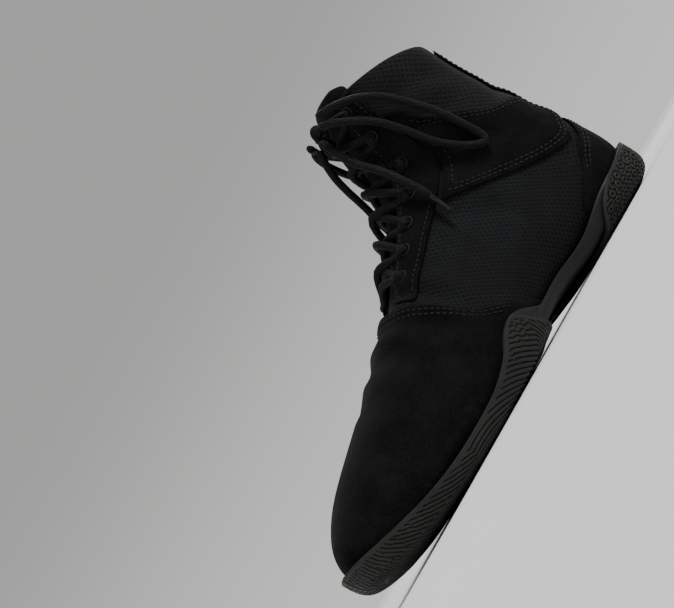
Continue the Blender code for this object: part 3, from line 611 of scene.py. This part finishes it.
NUMBERS = {"ADD": np.add, "SUBTRACT": np.subtract, "MULTIPLY": np.multiply, "DIVIDE": np.divide,
           "COSINE": np.cos, "POWER": np.power, "SQRT": np.sqrt, "ABSOLUTE": np.abs, "MINIMUM": np.minimum,
           "FRACT": lambda value: value - np.floor(value)}


def calc(tree, operation, *values):
    if tree is None:
        return NUMBERS[operation](*values)
    node = tree.nodes.new("ShaderNodeMath")
    node.operation = operation
    for socket, value in zip(node.inputs, values):
        put(tree, socket, value)
    return node.outputs[0]


def plus(tree, first, second):
    return calc(tree, "ADD", first, second)


def minus(tree, first, second):
    return calc(tree, "SUBTRACT", first, second)


def times(tree, first, second):
    return calc(tree, "MULTIPLY", first, second)


def weighed(tree, first, weight, second, other_weight):
    """The sum of two values, each times its weight."""
    return plus(tree, times(tree, first, weight), times(tree, second, other_weight))


def noise(tree, vector, scale, detail=3.0, rough=0.55):
    node = tree.nodes.new("ShaderNodeTexNoise")
    put(tree, node.inputs["Vector"], vector)
    for socket, value in (("Scale", scale), ("Detail", detail), ("Roughness", rough)):
        put(tree, node.inputs[socket], value)
    return node.outputs["Fac"]


def fade(tree, value, low, high, bottom=0.0, top=1.0):
    """bottom below low, top above high and a soft step between them."""
    if tree is None:
        share = np.clip((value - low) / (high - low), 0, 1)
        return bottom + (top - bottom) * share * share * (3 - 2 * share)
    node = tree.nodes.new("ShaderNodeMapRange")
    node.interpolation_type = "SMOOTHSTEP"
    for socket, given in zip(node.inputs, (value, low, high, bottom, top)):
        put(tree, socket, given)
    return node.outputs[0]


def tint(tree, factor, first, second):
    node = tree.nodes.new("ShaderNodeMix")
    node.data_type = "RGBA"
    put(tree, node.inputs[0], factor)
    for socket, colour in ((node.inputs[6], first), (node.inputs[7], second)):
        put(tree, socket, colour if isinstance(colour, bpy.types.NodeSocket) else (*colour, 1))
    return node.outputs[2]


def parts(tree, vector):
    if tree is None:
        return {"X": vector[:, 0], "Y": vector[:, 1]}
    node = tree.nodes.new("ShaderNodeSeparateXYZ")
    put(tree, node.inputs[0], vector)
    return node.outputs


def new_group(name, inputs, outputs):
    tree = bpy.data.node_groups.new(name, "ShaderNodeTree")
    for socket, value in inputs:
        kind = "NodeSocketVector" if value is None else "NodeSocketFloat"
        made = tree.interface.new_socket(socket, in_out="INPUT", socket_type=kind)
        if value is not None:
            made.default_value = value
    for socket in outputs:
        tree.interface.new_socket(socket, in_out="OUTPUT", socket_type="NodeSocketFloat")
    return tree, tree.nodes.new("NodeGroupInput").outputs, tree.nodes.new("NodeGroupOutput").inputs


def use(tree, group, **given):
    node = tree.nodes.new("ShaderNodeGroup")
    node.node_tree = group
    for socket, value in given.items():
        put(tree, node.inputs[socket], value)
    return node.outputs


def start(name, sheen=0.0, sheen_rough=0.5, coat=0.0, specular=0.5):
    material = bpy.data.materials.new(name)
    material.use_nodes = True
    shader = material.node_tree.nodes["Principled BSDF"]
    for socket, value in (("Sheen Weight", sheen), ("Sheen Roughness", sheen_rough), ("Coat Weight", coat),
                          ("Coat Roughness", 0.25), ("Specular IOR Level", specular)):
        shader.inputs[socket].default_value = value
    coords = material.node_tree.nodes.new("ShaderNodeTexCoord").outputs
    return material, material.node_tree, shader, coords


MILLIMETRE = 0.001


def surface(tree, shader, colour, rough, height):
    """height is in millimetres."""
    bump = tree.nodes.new("ShaderNodeBump")
    bump.inputs["Distance"].default_value = MILLIMETRE
    put(tree, bump.inputs["Height"], height)
    put(tree, shader.inputs["Normal"], bump.outputs["Normal"])
    put(tree, shader.inputs["Base Color"], colour)
    put(tree, shader.inputs["Roughness"], rough)


def speckled(name, scale, detail, dark, light, rough, height, **shine):
    """A finish whose colour, roughness and relief follow one fine noise."""
    material, tree, shader, coords = start(name, **shine)
    speckle = noise(tree, coords["Object"], scale, detail)
    surface(tree, shader, tint(tree, speckle, dark, light), fade(tree, speckle, *rough),
            times(tree, speckle, height))
    return material


# %% [markdown]
# ## Shared effects
# Nap is the short fur of suede: fine grains and brushed patches. Scuffs are the pale rubs and dust that a
# mat leaves low on the shoe. Open mesh, braid and ribs repeat like waves, so each is made of cosines.
# Hexagons come from the fractions of two coordinates.

# %% Nap, scuffs and grain
nap, given, out = new_group("nap", [("Vector", None), ("Grain", 1900.0), ("Patches", 60.0)],
                            ["Shade", "Height"])
grain = noise(nap, given["Vector"], given["Grain"], 2.0, 0.6)
patches = noise(nap, given["Vector"], given["Patches"], 4.0, 0.6)
put(nap, out["Shade"], weighed(nap, grain, 0.68, patches, 0.32))
put(nap, out["Height"], weighed(nap, grain, 0.16, patches, 0.25))

scuffs, given, out = new_group("scuffs", [("Vector", None), ("Low", 0.004), ("High", 0.034)], ["Dust"])
height_of_point = parts(scuffs, given["Vector"])["Z"]
low_down = fade(scuffs, height_of_point, given["Low"], given["High"], 1.0, 0.0)
rubs = fade(scuffs, noise(scuffs, given["Vector"], 140.0, 5.0, 0.65), 0.50, 0.68)
specks = fade(scuffs, noise(scuffs, given["Vector"], 900.0, 2.0, 0.5), 0.66, 0.74)
put(scuffs, out["Dust"], weighed(scuffs, low_down, rubs, specks, 0.25))
print("groups:", [g.name for g in bpy.data.node_groups])

# %% Mesh, braid, ribs and hexagons
def wave(tree, value, sharp=1.0):
    """0 in the valleys and 1 on the tops, once for each whole number of value."""
    turned = calc(tree, "COSINE", times(tree, value, 2 * math.pi))
    return calc(tree, "POWER", plus(tree, times(tree, turned, 0.5), 0.5), sharp)


open_mesh, given, out = new_group("open_mesh", [("Vector", None), ("Pitch", 0.0028)], ["Hole", "Height"])
CELL_HEIGHT, YARNS = 1.35, 5.0  # a cell's height and the yarns over it, both for one pitch
drift = times(open_mesh, noise(open_mesh, given["Vector"], 260.0, 2.0), 0.45)
u = plus(open_mesh, calc(open_mesh, "DIVIDE", parts(open_mesh, given["Vector"])["X"], given["Pitch"]), drift)
v = calc(open_mesh, "DIVIDE", parts(open_mesh, given["Vector"])["Y"],
         times(open_mesh, given["Pitch"], CELL_HEIGHT))
across = times(open_mesh, wave(open_mesh, plus(open_mesh, u, v), 0.8),
               wave(open_mesh, minus(open_mesh, u, v), 0.8))
hole = fade(open_mesh, across, 0.22, 0.42)
yarn = wave(open_mesh, times(open_mesh, plus(open_mesh, v, times(open_mesh, u, 0.2)), YARNS))
put(open_mesh, out["Hole"], hole)
put(open_mesh, out["Height"], weighed(open_mesh, hole, -0.75, yarn, 0.12))

braid, given, out = new_group("braid", [("Vector", None), ("Round", 8.0), ("Along", 16.0)],
                              ["Gap", "Height"])
u = times(braid, parts(braid, given["Vector"])["X"], given["Round"])
v = times(braid, parts(braid, given["Vector"])["Y"], given["Along"])
one_way, other_way = plus(braid, u, v), minus(braid, u, v)
on_top = calc(braid, "GREATER_THAN", calc(braid, "SINE", times(braid, other_way, math.pi)), 0.0)
strands = calc(braid, "MAXIMUM", times(braid, wave(braid, one_way, 0.5), on_top),
               times(braid, wave(braid, other_way, 0.5), minus(braid, 1.0, on_top)))
put(braid, out["Gap"], fade(braid, strands, 0.15, 0.6, 1.0, 0.0))
put(braid, out["Height"], times(braid, strands, 0.22))

WHOLE_CELLS = 40.0


def rows_of_cells(tree, vector, pitch, shift):
    """Distance to the nearest centre of a lattice of 1 by 1.732 pitches, moved off the origin by a whole
    number of cells so that no coordinate is negative, and by the shift."""
    squares = []
    for axis, width in (("X", 1.0), ("Y", math.sqrt(3))):
        place = calc(tree, "DIVIDE", parts(tree, vector)[axis], times(tree, pitch, width))
        local = minus(tree, calc(tree, "FRACT", plus(tree, place, WHOLE_CELLS + shift)), 0.5)
        local = times(tree, local, width)
        squares.append(times(tree, local, local))
    return calc(tree, "SQRT", plus(tree, *squares))


def cell_reach(tree, vector, pitch):
    """Distance to the nearest centre of a honeycomb, in pitches."""
    return calc(tree, "MINIMUM", rows_of_cells(tree, vector, pitch, 0.0),
                rows_of_cells(tree, vector, pitch, 0.5))


STUD_PITCH = 0.005
hexagons, given, out = new_group("hexagons", [("Vector", None), ("Pitch", STUD_PITCH)], ["Reach"])
put(hexagons, out["Reach"], cell_reach(hexagons, given["Vector"], given["Pitch"]))
print("patterns:", [g.name for g in bpy.data.node_groups])

# %% [markdown]
# ## Suede
# Suede drinks light, so it is rough and very dark, and its standing fibres give it a soft rim of light. The
# sheen of the shader does that. The pressed rims of the eyelets share the suede's nap, only flatter. The
# thread is waxed, so it shines a little more.

# %% Suede and thread
suede, tree, shader, coords = start("suede", sheen=0.03, sheen_rough=0.4, specular=0.06)
fur = use(tree, nap, Vector=coords["Object"])
dirt = use(tree, scuffs, Vector=coords["Object"])["Dust"]
colour = tint(tree, fade(tree, fur["Shade"], 0.40, 0.62),
              (0.0018, 0.0018, 0.0020), (0.0074, 0.0074, 0.0079))
colour = tint(tree, times(tree, dirt, 0.30), colour, (0.024, 0.023, 0.021))
surface(tree, shader, colour, fade(tree, fur["Shade"], 0.3, 0.7, 0.98, 0.82), fur["Height"])

thread_finish = speckled("waxed_thread", 5200.0, 2.0, (0.003, 0.003, 0.0032), (0.011, 0.011, 0.0115),
                         (0.3, 0.7, 0.45, 0.7), 0.05, sheen=0.03, specular=0.25)

pressed, tree, shader, coords = start("pressed_suede", sheen=0.02, specular=0.15)
fur = use(tree, nap, Vector=coords["Object"])
surface(tree, shader, tint(tree, fur["Shade"], (0.004, 0.004, 0.0042), (0.013, 0.013, 0.0135)),
        fade(tree, fur["Shade"], 0.3, 0.7, 0.62, 0.8), times(tree, fur["Height"], 0.4))

# The discs' near-black colour is painted shade inside the eyelet holes.
hole_shade_material = speckled("eyelet_shadow", 3000.0, 3.0, (0.001, 0.001, 0.001), (0.004, 0.004, 0.004),
                        (0.2, 0.8, 0.9, 1.0), 0.05, specular=0.05)
print("suede finishes ready")

# %% Mesh, lining and footbed
mesh_finish, tree, shader, coords = start("open_mesh_cloth", sheen=0.03, sheen_rough=0.4, specular=0.12)
net = use(tree, open_mesh, Vector=coords["UV"])
lint = noise(tree, coords["Object"], 2400.0, 2.0)
shade = noise(tree, coords["Object"], 38.0, 3.0)
threads_of_mesh = tint(tree, fade(tree, shade, 0.35, 0.65),
                       (0.0028, 0.0033, 0.0043), (0.0060, 0.0069, 0.0086))
# The open cells of the knit get a near-black colour: painted shade in its holes.
colour = tint(tree, net["Hole"], threads_of_mesh, (0.0006, 0.0007, 0.0009))
surface(tree, shader, colour, fade(tree, lint, 0.3, 0.7, 0.62, 0.86),
        plus(tree, net["Height"], times(tree, lint, 0.06)))

lining, tree, shader, coords = start("brushed_lining", sheen=0.04, sheen_rough=0.5, specular=0.12)
loops_of_pile = use(tree, hexagons, Vector=coords["Object"], Pitch=0.0014)["Reach"]
fluff = noise(tree, coords["Object"], 1500.0, 4.0)
surface(tree, shader, tint(tree, fluff, (0.005, 0.005, 0.0055), (0.016, 0.016, 0.017)),
        fade(tree, fluff, 0.3, 0.7, 0.8, 0.95),
        weighed(tree, loops_of_pile, -0.18, fluff, 0.12))

footbed_finish = speckled("foam_footbed", 1100.0, 4.0, (0.006, 0.006, 0.006), (0.018, 0.018, 0.019),
                          (0.3, 0.7, 0.78, 0.92), 0.15, sheen=0.03, specular=0.15)
print("cloth finishes ready")

# %% [markdown]
# ## Braided lace
# A round lace is a braid: strands wind round it both ways and pass over each other. The braid is drawn on
# the tube's own UV map, round by U and along by V. Its ends are dipped in hard plastic.

# %% Lace finishes
lace_finish, tree, shader, coords = start("braided_lace", sheen=0.03, sheen_rough=0.4, specular=0.15)
strand = use(tree, braid, Vector=coords["UV"])
fuzz = noise(tree, coords["Object"], 3600.0, 2.0)
# The gaps between the strands get a near-black colour: painted shade between them.
colour = tint(tree, strand["Gap"], (0.0030, 0.0030, 0.0033), (0.0006, 0.0006, 0.0006))
colour = tint(tree, times(tree, fuzz, 0.30), colour, (0.0075, 0.0075, 0.0081))
surface(tree, shader, colour, fade(tree, fuzz, 0.3, 0.7, 0.55, 0.8),
        plus(tree, strand["Height"], times(tree, fuzz, 0.05)))

tip_finish = speckled("plastic_tip", 420.0, 3.0, (0.004, 0.004, 0.0045), (0.009, 0.009, 0.0095),
                      (0.35, 0.65, 0.30, 0.48), 0.10, coat=0.05, specular=0.2)
print("lace finishes ready")

# %% [markdown]
# ## Moulded rubber
# The cup and the waist are smooth rubber with a satin face. The pads carry the tread: rings round the ball
# of the foot, on which a wrestler turns, straight ribs in front of them and arcs behind them. The heel has
# small ringed studs. Each pattern is written once, as a sum of the place on the sole in metres. The
# material darkens the grooves with it as painted shade, and further on the same sum presses them into the
# mesh.

# %% Smooth rubber
# The grooves are tinted near-black: painted shade in them, on top of their relief.
GROOVE_SHADE_SHARE, GROOVE_SHADE_COLOUR = 0.85, (0.0012, 0.0012, 0.0012)
PLAIN_BORDER = (0.0016, 0.0022)  # the tread begins this far inside a pad's border


def rubber(name, dark, light, low_rough, high_rough, tread=None):
    """A moulded rubber. tread gives 1 on the lands and 0 in the grooves, and how high the lands are."""
    material, tree, shader, coords = start(name, specular=0.22)
    skin = noise(tree, coords["Object"], 1300.0, 3.0)
    cloud = noise(tree, coords["Object"], 30.0, 4.0)
    dirt = use(tree, scuffs, Vector=coords["Object"], Low=0.0, High=0.030)["Dust"]
    colour = tint(tree, fade(tree, cloud, 0.35, 0.65), dark, light)
    colour = tint(tree, times(tree, dirt, 0.30), colour, (0.040, 0.038, 0.034))
    rough = plus(tree, fade(tree, cloud, 0.3, 0.7, low_rough, high_rough), times(tree, dirt, 0.15))
    height = times(tree, skin, 0.035)
    if tread:
        pattern, land_height = tread
        rim = tree.nodes.new("ShaderNodeAttribute")
        rim.attribute_name = "rim"
        open_area = fade(tree, rim.outputs["Fac"], *PLAIN_BORDER)
        groove = times(tree, minus(tree, 1.0, pattern(tree, coords["UV"])), open_area)
        # Painted shade: the grooves are tinted towards near-black.
        colour = tint(tree, times(tree, groove, GROOVE_SHADE_SHARE), colour, GROOVE_SHADE_COLOUR)
        height = minus(tree, height, times(tree, groove, land_height))
    surface(tree, shader, colour, rough, height)
    return material


cup_rubber = rubber("cup_rubber", (0.0075, 0.0080, 0.0078), (0.0115, 0.0122, 0.0118), 0.42, 0.56)
print("smooth rubber ready")

# %% Tread rubber
PIVOT, PIVOT_RADIUS, HUB_RADIUS = (0.005, -0.175), 0.030, 0.0150
REAR_CENTRE, BEHIND_PIVOT = (0.045, -0.165), -0.0062
CHEVRON_FROM, CHEVRON_NORMAL = (0.036, -0.110), (-0.717, 0.697)
HUB_PITCH, RING_PITCH, ARC_PITCH, REAR_PITCH, FRONT_PITCH = 0.0048, 0.0022, 0.0030, 0.0023, 0.0024
PANEL_PITCH, DIMPLE_PITCH = 0.0023, 0.0030
RIB_ANGLE = math.radians(25)
ACROSS_RIBS, SLANT = (math.cos(RIB_ANGLE), math.sin(RIB_ANGLE)), (math.sqrt(0.5), math.sqrt(0.5))
STEP, HUB_STEP = 0.0003, 0.0004  # over which one pattern gives way to the next
MOAT = (0.0004, 0.0007)  # how far the plain ring round the rings reaches to both sides
STUD_MOUTH, STUD_EDGE, DIMPLE_EDGE = (0.14, 0.20), (0.40, 0.47), (0.24, 0.36)  # in pitches


def ribs(tree, value, pitch, grooved=0.35):
    """1 on the lands. grooved is the share of the pitch that the groove takes."""
    return fade(tree, wave(tree, calc(tree, "DIVIDE", value, pitch), 0.5), grooved - 0.15, grooved + 0.15)


def along_line(tree, point, origin, direction):
    """How far a point lies from the origin, measured along the direction."""
    x, y = parts(tree, point)["X"], parts(tree, point)["Y"]
    return weighed(tree, minus(tree, x, origin[0]), direction[0], minus(tree, y, origin[1]), direction[1])


def reach_from(tree, point, origin):
    dx, dy = along_line(tree, point, origin, (1, 0)), along_line(tree, point, origin, (0, 1))
    return calc(tree, "SQRT", weighed(tree, dx, dx, dy, dy))


def choose(tree, share, first, second):
    """first where share is 0 and second where it is 1."""
    return weighed(tree, first, minus(tree, 1.0, share), second, share)


def forefoot_tread(tree, point):
    reach = reach_from(tree, point, PIVOT)
    rings = choose(tree, fade(tree, reach, HUB_RADIUS, HUB_RADIUS + HUB_STEP),
                   ribs(tree, reach, HUB_PITCH, 0.2), ribs(tree, reach, RING_PITCH))
    rear = ribs(tree, reach_from(tree, point, REAR_CENTRE), REAR_PITCH)
    arcs = ribs(tree, reach, ARC_PITCH)
    front = ribs(tree, along_line(tree, point, PIVOT, ACROSS_RIBS), FRONT_PITCH)
    past_chevron = fade(tree, along_line(tree, point, CHEVRON_FROM, CHEVRON_NORMAL), 0.0, STEP)
    behind = fade(tree, along_line(tree, point, PIVOT, (0, 1)), BEHIND_PIVOT, BEHIND_PIVOT + STEP)
    beyond = choose(tree, behind, front, choose(tree, past_chevron, arcs, rear))
    pattern = choose(tree, fade(tree, reach, PIVOT_RADIUS, PIVOT_RADIUS + STEP), rings, beyond)
    moat = fade(tree, calc(tree, "ABSOLUTE", minus(tree, reach, PIVOT_RADIUS)), *MOAT)
    return times(tree, pattern, moat)


def cells(tree, point, pitch):
    if tree is None:
        return cell_reach(None, point, pitch)
    return use(tree, hexagons, Vector=point, Pitch=pitch)["Reach"]


def heel_tread(tree, point):
    cell = cells(tree, point, STUD_PITCH)
    return times(tree, fade(tree, cell, *STUD_MOUTH), fade(tree, cell, *STUD_EDGE, 1.0, 0.0))


def strip_tread(tree, point):
    return fade(tree, cells(tree, point, DIMPLE_PITCH), *DIMPLE_EDGE)


def panel_tread(tree, point):
    return ribs(tree, along_line(tree, point, (0, 0), SLANT), PANEL_PITCH)


OLIVE = ((0.0115, 0.0115, 0.0105), (0.0180, 0.0180, 0.0165), 0.46, 0.62)
SHANK = ((0.0085, 0.0090, 0.0088), (0.0130, 0.0136, 0.0130), 0.36, 0.5)
RUBBERS = {"sole_base": cup_rubber,
           "forefoot_outsole": rubber("forefoot_rubber", *OLIVE, tread=(forefoot_tread, 0.35)),
           "heel_outsole": rubber("heel_rubber", *OLIVE, tread=(heel_tread, 0.35)),
           "lateral_forefoot_strip": rubber("strip_rubber", *OLIVE, tread=(strip_tread, 0.35)),
           "lateral_heel_panel": rubber("panel_rubber", *OLIVE, tread=(panel_tread, 0.3)),
           "shank_plaque": rubber("plaque_rubber", *SHANK, tread=(panel_tread, 0.2))}
print("materials:", len(bpy.data.materials))

# %% [markdown]
# ## Dressing the pieces
# The mesh needs a map that runs with the cloth. Along the foot it is the length of the shoe and the height.
# Round the heel it turns with the leg, so that the cells keep their size. The sock has two faces: mesh
# outside and brushed lining inside, told apart by which way a face looks from the foot's middle line.

# %% Cloth maps
TURN_Y, TURN_RADIUS = -0.03, 0.033
TONGUE_STRETCH = 0.7


def cloth_map(piece, flat):
    """Gives a piece one UV map, made from its points. flat lays them out in metres."""
    layer = piece.data.uv_layers.get("cloth") or piece.data.uv_layers.new(name="cloth")
    spread = flat(points_of(piece))
    index = np.empty(len(piece.data.loops), int)
    piece.data.loops.foreach_get("vertex_index", index)
    layer.data.foreach_set("uv", spread[index].ravel())
    for other in list(piece.data.uv_layers):
        if other.name != "cloth":
            piece.data.uv_layers.remove(other)


def round_the_heel(points):
    turn = np.arctan2(points[:, 1] - TURN_Y, np.abs(points[:, 0]))
    u = np.where(points[:, 1] < TURN_Y, points[:, 1], TURN_Y + TURN_RADIUS * turn)
    return np.stack([u, points[:, 2]], 1)


cloth_map(sock, round_the_heel)
cloth_map(tongue, lambda points: np.stack([points[:, 0], TONGUE_STRETCH * (points[:, 2] - points[:, 1])], 1))
print("maps:", [len(piece.data.uv_layers) for piece in (sock, tongue)])

# %% Tread maps
cup_tree = skin_tree(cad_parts["sole_base"].data)
FIRST_SLICE, LAST_SLICE, SLICE, SLICE_REACH = -0.256, 0.042, 0.004, 0.008
FLAT_FLOOR, LEAST_SLOPE, EMPTY = 0.001, 0.05, 1.0


def cup_normals(points):
    return np.array([cup_tree.find_nearest(Vector(point))[1] for point in points])


def unrolled(points):
    """Plan of the sole with its turned up sides laid flat: across and along, in metres."""
    marks = np.arange(FIRST_SLICE, LAST_SLICE, SLICE)
    lowest = np.array([points[np.abs(points[:, 1] - mark) < SLICE_REACH, 2].min(initial=EMPTY)
                       for mark in marks])
    rise = points[:, 2] - np.interp(points[:, 1], marks[lowest < EMPTY], lowest[lowest < EMPTY])
    out = cup_normals(points)[:, :2]
    out /= np.maximum(np.linalg.norm(out, axis=1), LEAST_SLOPE)[:, None]
    return points[:, :2] + out * np.maximum(rise - FLAT_FLOOR, 0)[:, None]


def rim_distance(piece):
    """Gives each point of a pad its distance from the pad's border, and 0 on its walls and back."""
    points = points_of(piece)
    triangles, border = outer_triangles(piece, cup_tree)
    outer = np.zeros(len(points))
    outer[sorted({corner for triangle in triangles for corner in triangle})] = 1
    distance = border_distance(points, border) * outer
    layer = piece.data.attributes.new("rim", "FLOAT", "POINT")
    layer.data.foreach_set("value", distance)
    return distance


def press_grooves(piece, pattern, depth):
    """Moves the points of the grooves towards the cup."""
    points, rim = points_of(piece), rim_distance(piece)
    groove = (1 - pattern(None, unrolled(points))) * fade(None, rim, *PLAIN_BORDER)
    set_points(piece, points - cup_normals(points) * (depth * groove)[:, None])


TREADS = {"forefoot_outsole": (forefoot_tread, 0.0008), "heel_outsole": (heel_tread, 0.0008),
          "lateral_forefoot_strip": (strip_tread, 0.0006), "lateral_heel_panel": (panel_tread, 0.0006),
          "shank_plaque": (panel_tread, 0.0003)}
for node, (pattern, depth) in TREADS.items():
    cloth_map(sole[node], unrolled)
    press_grooves(sole[node], pattern, depth)
print("treads:", {node: len(sole[node].data.polygons) for node in TREADS})

# %% Finishes on the pieces
FOOT_MIDDLE = 0.045  # height of the foot's middle line, at most


def wear(piece, slot, *materials):
    """Puts the finishes on a piece. slot, the record's slot that they belong to, is not used."""
    piece.data.materials.clear()
    for material in materials:
        piece.data.materials.append(material)


def inside(piece):
    """True for each face that looks towards the foot."""
    centres = np.array([p.center for p in piece.data.polygons])
    normals = np.array([p.normal for p in piece.data.polygons])
    middle = np.stack([np.zeros(len(centres)), np.minimum(centres[:, 1], MIDDLE_END),
                       np.minimum(centres[:, 2], FOOT_MIDDLE)], 1)
    return ((centres - middle) * normals).sum(1) < 0


wear(sock, "knit", mesh_finish, lining)
sock.data.polygons.foreach_set("material_index", inside(sock).astype(int))
wear(tongue, "knit", mesh_finish)
wear(footbed, "foam", footbed_finish)
for piece in suede_pieces.values():
    wear(piece, "suede", suede)
for node, material in RUBBERS.items():
    wear(sole[node], "shank_rubber" if node in ("sole_base", "shank_plaque") else "rubber", material)
for piece in (crossed_lace, bow_knot):
    wear(piece, "lace", lace_finish)
wear(threads, "suede", thread_finish)
wear(eyelet_rims, "suede", pressed)
wear(eyelet_hole_shades, "suede", hole_shade_material)
for piece in bow:
    wear(piece, "lace", lace_finish, tip_finish)
    if "_end_" in piece.name:
        spread = piece.data.uv_layers["cloth"].data
        last = max(entry.uv[1] for entry in spread)
        for face in piece.data.polygons:
            along = min(spread[k].uv[1] for k in face.loop_indices)
            face.material_index = int(along > last - V_PER_METRE * TIP_LENGTH)
print("dressed")

# %% [markdown]
# ## Floor and light
# The shoe is seen on a plain pale ground in wide soft light. A pale floor takes the soft shadow, and the
# world is nearly as pale, a little darker higher up. A low sun from behind rakes over the suede and the
# tread and shows their relief. Two weak lamps lift the shadows.

# %% Stage
FLOOR_SIZE = 12
bpy.ops.mesh.primitive_plane_add(size=FLOOR_SIZE, location=(0, 0, 0))
floor = bpy.context.object
floor.name = "studio_floor"
floor.data.materials.append(speckled("studio_floor", 3.0, 3.0, (0.86, 0.86, 0.86), (0.89, 0.89, 0.89),
                                     (0.2, 0.8, 0.9, 1.0), 0.01, specular=0.1))

world = bpy.data.worlds.new("studio")
bpy.context.scene.world = world
world.use_nodes = True
sky = world.node_tree
level = parts(sky, sky.nodes.new("ShaderNodeTexCoord").outputs["Generated"])["Z"]
AT_HORIZON, HIGHER, HIGH = (0.72, 0.72, 0.71), (0.40, 0.40, 0.395), 0.22
put(sky, sky.nodes["Background"].inputs["Color"], tint(sky, fade(sky, level, 0.0, HIGH), AT_HORIZON, HIGHER))
sky.nodes["Background"].inputs["Strength"].default_value = 1.0

SUN_LEAN, SUN_TURN, SUN_ENERGY, SUN_SOFTNESS = math.radians(48), math.radians(138), 2.6, math.radians(16)
bpy.ops.object.light_add(type="SUN", location=(0, 0, 2), rotation=(SUN_LEAN, 0, SUN_TURN))
sun = bpy.context.object
sun.name = "key"
sun.data.energy, sun.data.angle = SUN_ENERGY, SUN_SOFTNESS


def soft_light(name, place, aim, size, watts):
    bpy.ops.object.light_add(type="AREA", location=place)
    light = bpy.context.object
    light.name = name
    light.data.shape = "DISK"
    light.data.size = size
    light.data.energy = watts
    light.rotation_euler = (Vector(aim) - Vector(place)).to_track_quat("-Z", "Y").to_euler()


soft_light("front", (0.3, -1.6, 0.7), (0, -0.1, 0.06), 0.8, 7)
soft_light("back", (-0.6, 1.2, 1.2), (0, -0.1, 0.08), 0.8, 8)

# %% Update the scene
bpy.context.view_layer.update()
